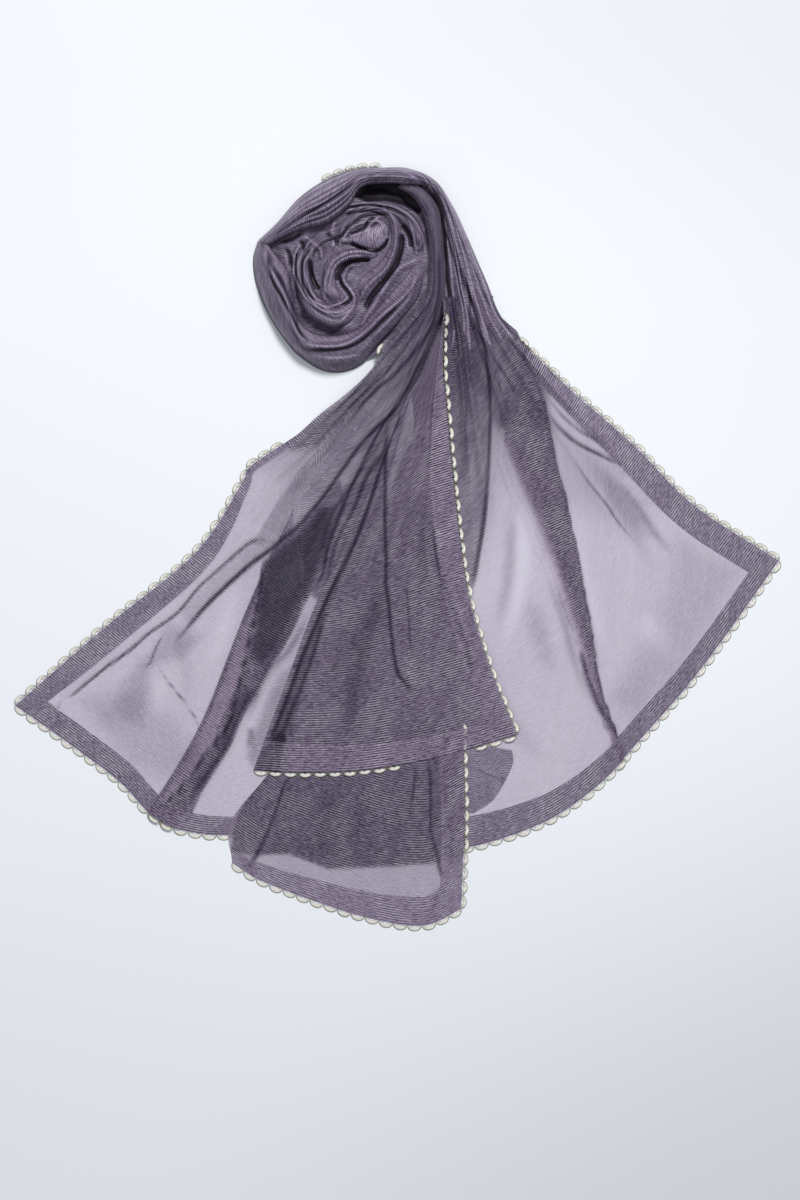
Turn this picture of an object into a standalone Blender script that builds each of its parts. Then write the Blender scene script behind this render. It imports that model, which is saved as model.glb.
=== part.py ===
"""A dupatta stole laid out flat: its middle rolled into a rosette, its two ends fanned out below.

The row frame is +X to the right, +Y from the hems towards the rosette and +Z up from the surface.
The origin is the middle of the outline on the surface. Every size in this file is in millimetres;
MM turns it into Blender's metres when a mesh is made.

The cloth is one rectangle, turned under in a hem on all four sides and edged with scalloped lace. Each
stretch of it that shows is a "run": a sheet lofted through sections from the rosette down to its hem. A
run's side A is the left one as it leaves the rosette, side B the right one.
"""

from types import SimpleNamespace

import bmesh
import bpy
import numpy as np

MM = 0.001

# Cloth and trim
WALL = 1.2  # a cloth wall
HEM_WALL = 1.0  # the turned-under ply of a hem, on top of the cloth
SEAM = 0.3  # clear gap between two pieces
HEM_WIDTH = 24.0
PLY_PITCH = 1.7  # from the middle of one ply of a tuck to the middle of the next
TUCK_RAMP = 9.0  # the cloth climbs onto a tuck over this width
RIDGE = np.array([(-5, 0), (-3.6, 1.2), (-1.4, 2.2), (0, 2.3), (1.3, 1.9), (2.5, 1.4), (3.7, 0.9), (4.8, 0.4),
                  (6, 0)])
LACE_WALL = 1.0
LACE_GAP = 1.0  # clear gap from the cloth's edge to its lace
SCALLOP_PITCH = 14.0
SCALLOP_DEPTH = 6.2  # from the hem's edge to the tip of a scallop
SCALLOP_VALLEY = 1.6  # depth of the lace between two scallops
SCALLOP_PHASES = (0.0, 0.22, 0.5, 0.78, 1.0)
LACE_INSET = 5.0  # the cloth's edge lies this far inside the outline that the tables give

THIN_COLOUR = (0.28, 0.25, 0.32)
MIDDLE_COLOUR = (0.13, 0.11, 0.14)
STRAND_COLOUR = (0.10, 0.08, 0.11)
DEEP_COLOUR = (0.05, 0.035, 0.07)
HEM_COLOUR = (0.17, 0.15, 0.20)
LACE_COLOUR = (0.72, 0.67, 0.50)

# Laying one piece over another
ON_TABLE = WALL / 2  # height of the middle of a cloth wall that lies on the surface
CELL = 3.0  # the heights of what is already laid are kept on square cells of this size
REACH = 7.0  # and a piece is lifted clear of everything within this distance
MARGIN = 0.15  # extra clear height where two pieces cross
NECK_Y = 190.0  # nearer the rosette than this, the runs stand side by side
HALF_SIZE = 420.0


def table(names, *rows):
    """Named columns from rows of numbers."""
    columns = zip(*rows)
    return SimpleNamespace(**{n: np.array(c, float) for n, c in zip(names.split(), columns)})


# ---------------------------------------------------------------------------------------------------
# Sections. ax ay bx by: where sides A and B lie. foot_a foot_b: how high the sides are held. crown:
# how far the middle arches over its sides. ripple: fold height.
# ---------------------------------------------------------------------------------------------------
SECTION = "ax ay bx by foot_a foot_b crown ripple"

LEFT_WING = table(
    SECTION,
    (17, 350, 29, 357, 15, 14, 8, 0.8),
    (27, 334, 42, 339, 15, 14, 9, 1.0),
    (32, 312, 46, 315, 15, 14, 10, 1.2),
    (33, 288, 48, 288, 15, 13, 10, 1.2),
    (31, 262, 49, 262, 15, 13, 10, 1.4),
    (24, 244, 47, 240, 15, 12, 11, 1.8),
    (10, 226, 40, 219, 15, 10, 11, 2.4),
    (-10, 204, 32, 197, 14, 8, 10, 3.0),
    (-24, 180, 22, 174, 10, 5, 9, 3.4),
    (-51, 154, 11, 139, 5, 2, 6, 4.0),
    (-98, 117, -5, 79, 0, 0, 2, 4.5),
    (-151, 79, -22, 9, 0, 0, 0, 4.0),
    (-206, -3, -38, -76, 0, 0, 0, 3.0),
    (-297, -79, -53, -186, 0, 0, 0, 1.6),
    (-388, -159, -66, -289, 0, 0, 0, 0.4),
)
LEFT_WING_HEM = ((-388, -159), (-330, -200), (-282, -236), (-246, -272), (-205, -288), (-140, -290),
                 (-66, -289))

FRONT_PANEL = table(
    SECTION,
    (49, 235, 53, 236, 10, 9, 2, 0.2),
    (44, 219, 52, 221, 10, 9, 4, 0.5),
    (35, 198, 52, 199, 11, 9, 6, 1.4),
    (26, 175, 52, 175, 12, 9, 6, 2.0),
    (8, 144, 55, 144, 9, 6, 5, 3.0),
    (-18, 79, 61, 79, 5, 4, 2, 2.6),
    (-45, 6, 69, 4, 2, 2, 0, 2.4),
    (-74, -56, 79, -56, 0, 0, 0, 2.2),
    (-104, -131, 101, -131, 0, 0, 0, 1.8),
    (-143, -226, 125, -190, 0, 0, 0, 0.4),
)
FRONT_PANEL_HEM = ((-143, -226), (-96, -228), (-36, -226), (24, -217), (74, -205), (125, -190))

LOWER_PANEL = table(
    SECTION,
    (22, 129, 50, 129, 0, 0, 0, 0.0),
    (-1, 49, 57, 49, 0, 0, 0, 0.0),
    (-36, -41, 64, -41, 0, 0, 0, 0.0),
    (-76, -131, 69, -131, 0, 0, 0, 0.0),
    (-124, -220, 72, -214, 0, 0, 0, 1.2),
    (-165, -276, 73, -284, 0, 0, 0, 2.2),
    (-164, -319, 70, -366, 0, 0, 0, 0.4),
)
LOWER_PANEL_HEM = ((-164, -319), (-134, -337), (-76, -359), (-11, -378), (34, -382), (70, -366))

SHOULDER = table(
    SECTION,
    (-127, 303, -138, 308, 14, 3, 9, 0.6),
    (-108, 313, -119, 326, 14, 2, 14, 1.2),
    (-88, 319, -98, 350, 14, 1, 19, 2.0),
    (-68, 324, -76, 366, 14, 1, 22, 2.6),
    (-48, 340, -54, 376, 14, 1, 22, 2.6),
    (-34, 360, -36, 380, 15, 2, 20, 1.8),
    (-12, 364, -12, 381, 15, 3, 18, 1.4),
    (8, 363, 13, 380, 15, 3, 17, 1.4),
    (30, 360, 39, 368, 15, 5, 14, 1.0),
    (44, 341, 57, 342, 14, 4, 15, 1.2),
    (48, 316, 69, 317, 13, 2, 17, 1.8),
    (50, 288, 82, 287, 12, 1, 17, 2.6),
    (52, 262, 92, 264, 10, 0, 15, 3.2),
    (56, 233, 103, 236, 8, 0, 13, 3.6),
)
RIGHT_WING = table(
    SECTION,
    (56, 232.4, 103, 235.4, 8, 0, 13, 3.6),
    (53, 184, 139, 199, 3, 0, 8, 4.5),
    (39, 119, 184, 156, 0, 0, 3, 4.5),
    (19, 29, 244, 102, 0, 0, 0, 3.8),
    (-6, -91, 304, 41, 0, 0, 0, 2.4),
    (-51, -293, 388, -14, 0, 0, 0, 0.4),
)
RIGHT_WING_HEM = (
    (-51, -293), (4, -309), (74, -303), (149, -278), (204, -241), (244, -198), (309, -123), (388, -14),
)

OUTER_WRAP = table(
    SECTION,
    (-127.4, 302.2, -138.4, 307.2, 14, 3, 9, 0.6),
    (-116, 288, -143, 291, 12, 0, 15, 1.6),
    (-106, 274, -142, 273, 12, 0, 17, 2.2),
    (-104, 257, -137, 255, 12, 0, 17, 2.2),
    (-101, 240, -129, 237, 12, 0, 17, 2.2),
    (-94, 224, -115, 214, 12, 0, 17, 2.2),
    (-80, 215, -96, 192, 12, 0, 16, 2.2),
    (-58, 213, -68, 177, 12, 0, 14, 2.4),
    (-38, 220, -38, 182, 12, 1, 12, 2.4),
    (-22, 236, -12, 211, 12, 10, 8, 1.6),
    (-6, 254, 8, 233, 12, 12, 7, 1.2),
    (8, 270, 23, 253, 12, 12, 6, 1.0),
    (19, 284, 28, 275, 12, 12, 3, 0.4),
)

MIDDLE_COIL = table(
    SECTION,
    (14, 294, 28, 290, 12, 12, 4, 0.4),
    (15, 310, 28, 312, 12, 12, 9, 0.8),
    (6, 324, 18, 332, 12, 12, 10, 1.0),
    (-12, 333, -6, 346, 12, 12, 10, 1.0),
    (-35, 330, -35, 343, 12, 12, 10, 1.0),
    (-54, 313, -58, 323, 12, 12, 9, 0.8),
    (-73, 304, -80, 314, 12, 12, 9, 0.8),
    (-83, 291, -98, 296, 12, 12, 12, 1.0),
    (-84, 274, -101, 274, 12, 12, 13, 1.2),
    (-81, 258, -98, 251, 12, 12, 13, 1.2),
    (-72, 247, -86, 231, 12, 12, 12, 1.2),
    (-59, 240, -62, 220, 12, 12, 11, 1.2),
    (-49, 245, -42, 230, 12, 12, 9, 0.8),
    (-46, 252, -36, 246, 12, 12, 5, 0.4),
)
INNER_COIL = table(
    SECTION,
    (-3, 325, 7, 320, 12, 12, 4, 0.4),
    (-1, 309, 11, 309, 12, 12, 9, 0.8),
    (-9, 293, 6, 287, 12, 12, 11, 1.0),
    (-22, 282, -10, 268, 12, 12, 12, 1.2),
    (-38, 272, -25, 253, 12, 12, 11, 1.2),
    (-42, 262, -32, 246, 12, 12, 5, 0.4),
)
PETAL = table(
    SECTION,
    (-47, 310, -47, 314, 12, 12, 3, 0.0),
    (-35, 304, -35, 318, 12, 12, 10, 0.4),
    (-24, 300, -23, 322, 13, 12, 12, 0.4),
    (-13, 306, -12, 319, 12, 12, 7, 0.2),
)
HEART = table(
    SECTION,
    (-66, 244, -52, 247, 12, 12, 7, 0.3),
    (-70, 256, -50, 258, 12, 12, 11, 0.6),
    (-72, 270, -58, 269, 12, 12, 11, 0.6),
    (-70, 288, -59, 280, 12, 12, 11, 0.6),
    (-52, 300, -46, 288, 12, 12, 10, 0.6),
    (-30, 297, -27, 287, 12, 12, 9, 0.5),
    (-14, 300, -13, 296, 12, 12, 4, 0.2),
)
PEEKING_FOLD = table(
    SECTION,
    (58, -192, 116, -201, 0, 0, 0, 0.0),
    (58, -206, 117, -214, 0, 0, 0.6, 0.0),
    (60, -226, 107, -236, 0, 0, 0.6, 0.0),
    (62, -246, 96, -252, 0, 0, 0.6, 0.0),
    (64, -264, 78, -264, 0, 0, 0, 0.0),
)
HIDDEN_LAYERS = table(
    SECTION,
    (18, 120, 33, 108, 0, 0, 0, 0.0),
    (1, 79, 27, 70, 0, 0, 0.5, 0.0),
    (-19, 9, 11, 9, 0, 0, 0.8, 0.0),
    (-35, -76, -6, -76, 0, 0, 0.8, 0.0),
    (-50, -186, -31, -186, 0, 0, 0.5, 0.0),
    (-60, -262, -50, -262, 0, 0, 0, 0.0),
)

# ---------------------------------------------------------------------------------------------------
# The rounded core of the rosette: share of the outline's size, and height, from the surface up
# ---------------------------------------------------------------------------------------------------
CORE_MIDDLE = (-37, 287)
CORE_HALF_SIZE = (82, 75)
CORE_RINGS = table("size z", (0.96, 0.0), (1.0, 3.0), (0.98, 7.5), (0.93, 10.6), (0.88, 11.6))
CORE_SIDES = 32

# ---------------------------------------------------------------------------------------------------
# Folds: crests of the soft folds, from the rosette to the hem, as shares of the run's width. height is
# a share of the section's ripple.
# ---------------------------------------------------------------------------------------------------
FOLD = "at_top at_hem height"
LEFT_WING_FOLDS = table(FOLD, (0.34, 0.20, 0.8), (0.56, 0.34, 1.0), (0.70, 0.70, 1.0), (0.86, 0.82, 0.7))
FRONT_PANEL_FOLDS = table(FOLD, (0.16, 0.10, 1.0), (0.36, 0.28, 0.9), (0.55, 0.48, 1.0), (0.74, 0.68, 0.9))
LOWER_PANEL_FOLDS = table(FOLD, (0.12, 0.09, 1.0), (0.30, 0.28, 0.6), (0.52, 0.52, 0.8), (0.72, 0.74, 1.0))
SHOULDER_FOLDS = table(FOLD, (0.20, 0.20, 0.9), (0.46, 0.46, 1.0), (0.74, 0.74, 1.0))
RIGHT_WING_FOLDS = table(FOLD, (0.16, 0.14, 0.9), (0.36, 0.30, 1.0), (0.58, 0.42, 0.7), (0.80, 0.80, 0.8))
OUTER_WRAP_FOLDS = table(FOLD, (0.22, 0.22, 0.8), (0.50, 0.50, 1.0), (0.78, 0.78, 1.0))
COIL_FOLDS = table(FOLD, (0.30, 0.30, 1.0), (0.68, 0.68, 1.0))
ONE_FOLD = table(FOLD, (0.50, 0.50, 1.0))

# Tucks: the cloth doubled back on itself. edge: its crisp edge, as shares of the width, at the sections
# in turn. depth: how far it doubles back. folded: 1 where it is doubled, 0 where it is only a ridge.
LEFT_WING_TUCK = table(
    "edge depth folded",
    (0.56, 4, 0), (0.56, 4, 0), (0.56, 4, 0), (0.56, 4, 0), (0.56, 4, 0), (0.56, 5, 0),
    (0.56, 6, 0), (0.56, 10, 0), (0.56, 14, 0), (0.55, 16, 0),
    (0.52, 26, 1), (0.50, 38, 1), (0.44, 44, 1), (0.45, 44, 1), (0.47, 36, 1),
)
RIGHT_WING_TUCK = table(
    "edge depth folded",
    (0.62, 8, 0), (0.68, 20, 1), (0.71, 42, 1), (0.67, 30, 1), (0.64, 18, 1), (0.57, 14, 1),
)


def through(values, at):
    """Values between the rows of a table, on a smooth curve through them. at counts rows from 0."""
    values, at = np.asarray(values, float), np.asarray(at, float)
    first = np.clip(np.floor(at).astype(int), 0, len(values) - 2)
    share = at - first
    padded = np.concatenate([[2 * values[0] - values[1]], values, [2 * values[-1] - values[-2]]])
    p0, p1, p2, p3 = (padded[first + k] for k in range(4))
    return 0.5 * (
        2 * p1
        + (p2 - p0) * share
        + (2 * p0 - 5 * p1 + 4 * p2 - p3) * share**2
        + (3 * p1 - p0 - 3 * p2 + p3) * share**3
    )


def spaced_along(points, shares):
    """Points at these shares of the length of a smooth line through the given ones."""
    points = np.asarray(points, float)
    fine_at = np.linspace(0, len(points) - 1, 40 * len(points))
    fine = np.stack([through(column, fine_at) for column in points.T], axis=1)
    steps = np.linalg.norm(np.diff(fine, axis=0), axis=1)
    length = np.concatenate([[0], np.cumsum(steps)])
    return np.stack([np.interp(np.asarray(shares) * length[-1], length, c) for c in fine.T], axis=1)


def smooth_step(x):
    x = np.clip(x, 0, 1)
    return x * x * (3 - 2 * x)


# ---------------------------------------------------------------------------------------------------
# Heights of what is already laid
# ---------------------------------------------------------------------------------------------------
def cells_of(x, y):
    i = np.clip(((np.asarray(x) + HALF_SIZE) / CELL).astype(int), 0, LAID.shape[0] - 1)
    j = np.clip(((np.asarray(y) + HALF_SIZE) / CELL).astype(int), 0, LAID.shape[1] - 1)
    return i, j


def points_inside(grid, step=2.5):
    """Points spread over each of the grid's four-sided faces: an array of patches for each share."""
    longest = max(np.linalg.norm(np.diff(grid, axis=0), axis=2).max(), 1.0)
    widest = max(np.linalg.norm(np.diff(grid, axis=1), axis=2).max(), 1.0)
    for u in np.linspace(0, 1, int(longest / step) + 2):
        for v in np.linspace(0, 1, int(widest / step) + 2):
            near = grid[:-1, :-1] * (1 - v) + grid[:-1, 1:] * v
            far = grid[1:, :-1] * (1 - v) + grid[1:, 1:] * v
            yield near * (1 - u) + far * u


def half_height(grid, wall):
    """Half of the wall, measured straight up, at each of the grid's faces."""
    steepness = np.clip(np.abs(normals_of(grid)[:, :, 2]), 0.4, 1.0)
    corners = np.minimum.reduce([steepness[:-1, :-1], steepness[1:, :-1], steepness[:-1, 1:],
                                 steepness[1:, 1:]])
    return wall / 2 / corners


def lay_down(grid, wall):
    """Keep the heights of a piece's upper face."""
    half = half_height(grid, wall)
    for points in points_inside(grid):
        below_neck = points[:, :, 1] < NECK_Y
        i, j = cells_of(points[:, :, 0][below_neck], points[:, :, 1][below_neck])
        np.maximum.at(LAID, (i, j), (points[:, :, 2] + half)[below_neck])


def lifted_clear(grid, wall):
    """The same points, raised where the piece would touch what is already laid."""
    reach = int(np.ceil(REACH / CELL))
    ceiling = LAID.copy()
    for axis in (0, 1):
        ceiling = np.max([np.roll(ceiling, k, axis) for k in range(-reach, reach + 1)], axis=0)
    half = half_height(grid, wall)
    lack = np.zeros(half.shape)
    for points in points_inside(grid):
        i, j = cells_of(points[:, :, 0], points[:, :, 1])
        top = ceiling[i, j]
        needed = np.where(top > 0, top + half + SEAM + MARGIN, 0.0)
        lack = np.maximum(lack, needed - points[:, :, 2])
    raised = np.zeros(grid.shape[:2])
    for rows, columns in ((slice(0, -1), slice(0, -1)), (slice(1, None), slice(0, -1)),
                          (slice(0, -1), slice(1, None)), (slice(1, None), slice(1, None))):
        raised[rows, columns] = np.maximum(raised[rows, columns], lack)
    lifted = grid.copy()
    lifted[:, :, 2] += raised
    return lifted


# ---------------------------------------------------------------------------------------------------
# Lofting a run
# ---------------------------------------------------------------------------------------------------
def tuck_profile(edge, depth, folded, leans, scale):
    """A tuck's columns across the run: distances in mm along the width, and heights in plies.

    leans is +1 where the upper ply comes from side A, else -1.
    """
    bend = 0.8
    doubled = np.array([
        (-depth - TUCK_RAMP, 0.0),
        (-depth - 2.0, 2.0),
        (-bend, 2.0),
        (0.0, 1.5),
        (-bend, 1.0),
        (-depth + bend, 1.0),
        (-depth, 0.5),
        (-depth + bend, 0.0),
        (3.0, 0.0),
    ])
    ridge = RIDGE * scale
    outline = folded * doubled + (1 - folded) * ridge
    if leans < 0:
        outline = (outline * (-1, 1))[::-1]
    return outline + (edge, 0)


def columns_at(run, row, width):
    """Where the columns of a run cross one row: (mm from side A, height in mm)."""
    share = row / (len(run.sections.ax) - 1)
    ripple = max(float(through(run.sections.ripple, row)), 0.0)
    hem = min(HEM_WIDTH, 0.3 * width)
    crests = [(width * (t + (h - t) * share), tall * ripple)
              for t, h, tall in zip(run.folds.at_top, run.folds.at_hem, run.folds.height)]
    left = [0.0, hem] if run.hem_side == "a" else [0.0]
    right = [width - hem, width] if run.hem_side == "b" else [width]
    marks = [(x, 0.0) for x in left]
    tuck = []
    if run.tuck is not None:
        edge = width * float(through(run.tuck.edge, row))
        depth = min(float(through(run.tuck.depth, row)), 0.28 * width)
        folded = float(np.clip(through(run.tuck.folded, row), 0, 1))
        profile = tuck_profile(edge, depth, folded, run.leans, min(1.0, width / 70))
        tuck = [(x, z * PLY_PITCH) for x, z in profile]
    before, after = crests[:run.folds_before_tuck], crests[run.folds_before_tuck:]
    for group, stop in ((before, tuck[0][0] if tuck else None), (after, right[0])):
        for x, tall in group:
            marks.append(((marks[-1][0] + x) / 2, 0.0))
            marks.append((x, tall))
        if tuck and group is before:
            marks.append(((marks[-1][0] + stop) / 2, 0.0))
            run.tuck_columns = (len(marks), len(marks) + len(tuck) - 1)
            marks.extend(tuck)
    marks.append(((marks[-1][0] + right[0]) / 2, 0.0))
    marks.extend((x, 0.0) for x in right)
    return np.array(marks)


def loft(run):
    """The middle surface of a run as an array of points, rows by columns, in mm."""
    s = run.sections
    last = len(s.ax) - 1
    rows = np.linspace(0, last, last * run.rows_per_section + 1)
    if run.hem is not None:
        run_length = np.hypot(s.ax[-1] - s.ax[-2], s.ay[-1] - s.ay[-2])
        hem_row = last - HEM_WIDTH / run_length
        rows = np.concatenate([rows[rows < hem_row - 0.15], [hem_row, last]])
    grid = []
    for row in rows:
        a = np.array([through(s.ax, row), through(s.ay, row)])
        b = np.array([through(s.bx, row), through(s.by, row)])
        across = (b - a) / np.linalg.norm(b - a)
        a = a + across * LACE_INSET * (run.hem_side == "a")
        b = b - across * LACE_INSET * (run.hem_side == "b")
        width = np.linalg.norm(b - a)
        marks = columns_at(run, row, width)
        share = marks[:, 0] / width
        plan = a + share[:, None] * (b - a)
        if run.hem is not None:
            pull = smooth_step((row - run.bow_from) / (last - run.bow_from))
            ends = np.array([run.hem[0], run.hem[-1]], float)
            straight = ends[0] + share[:, None] * (ends[1] - ends[0])
            plan = plan + pull * (spaced_along(run.hem, np.clip(share, 0, 1)) - straight)
            above = np.array([(s.ax[-2] + s.bx[-2]) / 2, (s.ay[-2] + s.by[-2]) / 2])
            towards_top = above - straight.mean(axis=0)
            plan = plan + pull * LACE_INSET * towards_top / np.linalg.norm(towards_top)
        arch = 1 - np.abs(2 * np.clip(share, 0, 1) - 1) ** 2.6
        feet = through(s.foot_a, row) * (1 - share) + through(s.foot_b, row) * share
        z = run.rests_at + feet + through(s.crown, row) * arch + marks[:, 1]
        grid.append(np.column_stack([plan, np.maximum(z, run.rests_at)]))
    return np.array(grid)


def normals_of(grid):
    """The upward direction at each point: the mean of the faces that meet there."""
    diagonal = grid[1:, 1:] - grid[:-1, :-1]
    other = grid[1:, :-1] - grid[:-1, 1:]
    faces = np.cross(other, diagonal)
    faces /= np.linalg.norm(faces, axis=2, keepdims=True) + 1e-12
    normal = np.zeros(grid.shape)
    for rows in (slice(0, -1), slice(1, None)):
        for columns in (slice(0, -1), slice(1, None)):
            normal[rows, columns] += faces
    normal /= np.linalg.norm(normal, axis=2, keepdims=True) + 1e-12
    return normal * np.where(normal[:, :, 2:3] < 0, -1.0, 1.0)


def moved_out(grid, distance):
    """The same points, moved out of the cloth by a distance."""
    return grid + distance * normals_of(grid)


# ---------------------------------------------------------------------------------------------------
# Making the objects
# ---------------------------------------------------------------------------------------------------
def clear_scene():
    for obj in list(bpy.data.objects):
        bpy.data.objects.remove(obj, do_unlink=True)


def material(name, colour, roughness, metallic=0.0):
    made = bpy.data.materials.new(name)
    made.use_nodes = True
    shader = made.node_tree.nodes["Principled BSDF"]
    shader.inputs["Base Color"].default_value = (*colour, 1.0)
    shader.inputs["Roughness"].default_value = roughness
    shader.inputs["Metallic"].default_value = metallic
    return made


def add_object(name, mesh, finish):
    mesh.materials.append(finish)
    obj = bpy.data.objects.new(name, mesh)
    STOLE.objects.link(obj)
    return obj


def thicken(obj, wall):
    modifier = obj.modifiers.new("wall", "SOLIDIFY")
    modifier.thickness = wall * MM
    modifier.offset = 0
    modifier.use_even_offset = False
    return obj


def sheet(name, grid, wall, finish):
    """A cloth wall: a flat grid, its vertices moved to the lofted points, then thickened."""
    rows, columns = grid.shape[:2]
    bm = bmesh.new()
    bmesh.ops.create_grid(bm, x_segments=columns - 1, y_segments=rows - 1, size=1.0)
    in_order = sorted(bm.verts, key=lambda v: (round(v.co.y, 5), round(v.co.x, 5)))
    for vertex, point in zip(in_order, grid.reshape(-1, 3)):
        vertex.co = point * MM
    mesh = bpy.data.meshes.new(name)
    bm.to_mesh(mesh)
    bm.free()
    mesh.shade_smooth()
    return thicken(add_object(name, mesh, finish), wall)


def scalloped_lace(name, edge, inside, finish):
    """Lace along an edge line: one many-sided face for each scallop, then thickened.

    inside is a point on the cloth's side of the edge, and the scallops point away from it.
    """
    steps = np.linalg.norm(np.diff(edge, axis=0), axis=1)
    length = np.concatenate([[0], np.cumsum(steps)])
    count = max(1, round(length[-1] / SCALLOP_PITCH))
    at = np.array([(i + phase) / count for i in range(count) for phase in SCALLOP_PHASES[:-1]] + [1.0])
    line = np.stack([np.interp(at * length[-1], length, c) for c in edge.T], axis=1)
    tangent = np.gradient(line[:, :2], axis=0)
    outward = np.column_stack([tangent[:, 1], -tangent[:, 0]])
    outward /= np.linalg.norm(outward, axis=1, keepdims=True)
    middle = len(line) // 2
    if (line[middle, :2] - np.asarray(inside)) @ outward[middle] < 0:
        outward = -outward
    phase = (at * count) % 1.0
    reach = SCALLOP_VALLEY + (SCALLOP_DEPTH - SCALLOP_VALLEY) * np.sin(np.pi * phase) ** 0.7
    inner, outer = line.copy(), line.copy()
    inner[:, :2] += outward * LACE_GAP
    outer[:, :2] += outward * reach[:, None]
    bm = bmesh.new()
    per_scallop = len(SCALLOP_PHASES) - 1
    outer_verts = [bm.verts.new(p * MM) for p in outer]
    inner_verts = [bm.verts.new(inner[i * per_scallop] * MM) for i in range(count + 1)]
    for i in range(count):
        rim = outer_verts[i * per_scallop:(i + 1) * per_scallop + 1]
        bm.faces.new([inner_verts[i], *rim, inner_verts[i + 1]])
    bmesh.ops.recalc_face_normals(bm, faces=bm.faces)
    mesh = bpy.data.meshes.new(name)
    bm.to_mesh(mesh)
    bm.free()
    return thicken(add_object(name, mesh, finish), LACE_WALL)


def hem_parts(run, grid, end_spans):
    """The hem's strips of the grid: the side's, then one for each span of columns along the end."""
    at_b = run.hem_side == "b"
    strips = [("side", grid[run.hem_from:-1, -2:] if at_b else grid[run.hem_from:-1, :2])]
    for number, (first, last) in enumerate(end_spans):
        strip = grid[-2:, first:last + 1].copy()
        if first == 0 and not at_b:
            strip = strip[:, 1:]  # the side's strip takes this corner
        if last == grid.shape[1] - 1 and at_b:
            strip = strip[:, :-1]
        for edge, inner in ((0, 1), (-1, -2)):
            inwards = strip[:, inner] - strip[:, edge]
            strip[:, edge] += 2 * SEAM * inwards / np.linalg.norm(inwards, axis=1, keepdims=True)
        strips.append((("end", "end_inner")[number], strip))
    return strips


def end_spans_of(run, grid):
    """The columns of the end that lie flat: all of them, or those on each side of a tuck."""
    last = grid.shape[1] - 1
    if run.tuck is None:
        return [(0, last)]
    return [(0, run.tuck_columns[0]), (run.tuck_columns[1], last)]


def lay_run(name, run, colour):
    """A run's cloth, the turned-under plies of its hems, and its lace, laid on what is already there."""
    grid = loft(run)
    if run.lies_on_others:
        grid = lifted_clear(grid, WALL)
    sheet(name, grid, WALL, material(name + "_cloth", colour, 0.75))
    lay_down(grid, WALL)
    if run.hem_side is None:
        return grid
    spans = end_spans_of(run, grid)
    lifted = moved_out(grid, WALL / 2 + SEAM + HEM_WALL / 2)
    for part, strip in hem_parts(run, lifted, spans):
        sheet(f"{name}_{part}_hem", strip, HEM_WALL, material(f"{name}_{part}_hem_cloth", HEM_COLOUR, 0.7))
        lay_down(strip, HEM_WALL)
    middle = grid[len(grid) // 2, grid.shape[1] // 2, :2]
    lace_from = run.hem_from if run.lace_from is None else run.lace_from
    side = grid[lace_from:, -1 if run.hem_side == "b" else 0]
    scalloped_lace(f"{name}_side_lace", side, middle, material(f"{name}_side_lace_trim", LACE_COLOUR, 0.45))
    for number, (first, last) in enumerate(spans):
        part = ("end", "end_inner")[number]
        edge = grid[-1, first:last + 1]
        finish = material(f"{name}_{part}_lace_trim", LACE_COLOUR, 0.45)
        scalloped_lace(f"{name}_{part}_lace", edge, grid[-3, (first + last) // 2, :2], finish)
    return grid


def run_of(sections, folds, **more):
    given = dict(hem=None, hem_side=None, hem_from=0, lace_from=None, tuck=None, leans=1,
                 folds_before_tuck=len(folds.height), bow_from=len(sections.ax) - 4, rows_per_section=2,
                 rests_at=ON_TABLE, lies_on_others=True)
    given.update(more)
    return SimpleNamespace(sections=sections, folds=folds, **given)


def rounded_core(name, colour):
    """A low rounded solid, ring upon ring."""
    angles = np.linspace(0, 2 * np.pi, CORE_SIDES, endpoint=False)
    bm = bmesh.new()
    rings = []
    for size, z in zip(CORE_RINGS.size, CORE_RINGS.z):
        x = CORE_MIDDLE[0] + size * CORE_HALF_SIZE[0] * np.cos(angles)
        y = CORE_MIDDLE[1] + size * CORE_HALF_SIZE[1] * np.sin(angles)
        rings.append([bm.verts.new((px * MM, py * MM, z * MM)) for px, py in zip(x, y)])
    for lower, upper in zip(rings, rings[1:]):
        for k in range(CORE_SIDES):
            n = (k + 1) % CORE_SIDES
            bm.faces.new((lower[k], lower[n], upper[n], upper[k]))
    bm.faces.new(list(reversed(rings[0])))
    bm.faces.new(rings[-1])
    bmesh.ops.recalc_face_normals(bm, faces=bm.faces)
    mesh = bpy.data.meshes.new(name)
    bm.to_mesh(mesh)
    bm.free()
    return add_object(name, mesh, material(name + "_cloth", colour, 0.8))


clear_scene()
STOLE = bpy.data.collections.new("dupatta_stole")
bpy.context.scene.collection.children.link(STOLE)
LAID = np.zeros((int(2 * HALF_SIZE / CELL), int(2 * HALF_SIZE / CELL)))

left_wing = run_of(LEFT_WING, LEFT_WING_FOLDS, hem=LEFT_WING_HEM, hem_side="a", hem_from=21, lace_from=14,
                   tuck=LEFT_WING_TUCK, leans=-1, folds_before_tuck=2)
right_wing = run_of(RIGHT_WING, RIGHT_WING_FOLDS, hem=RIGHT_WING_HEM, hem_side="b", hem_from=7, lace_from=4,
                    tuck=RIGHT_WING_TUCK, folds_before_tuck=3, rows_per_section=3, bow_from=1)
hidden_layers = run_of(HIDDEN_LAYERS, ONE_FOLD, lies_on_others=False)
peeking_fold = run_of(PEEKING_FOLD, ONE_FOLD)
lower_panel = run_of(LOWER_PANEL, LOWER_PANEL_FOLDS, hem=LOWER_PANEL_HEM, hem_side="b", hem_from=7, bow_from=3)
front_panel = run_of(FRONT_PANEL, FRONT_PANEL_FOLDS, hem=FRONT_PANEL_HEM, hem_side="b", hem_from=11,
                     lace_from=0)
lay_run("left_wing", left_wing, THIN_COLOUR)
lay_run("right_wing", right_wing, THIN_COLOUR)
lay_run("hidden_layers", hidden_layers, DEEP_COLOUR)
lay_run("peeking_fold", peeking_fold, DEEP_COLOUR)
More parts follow.
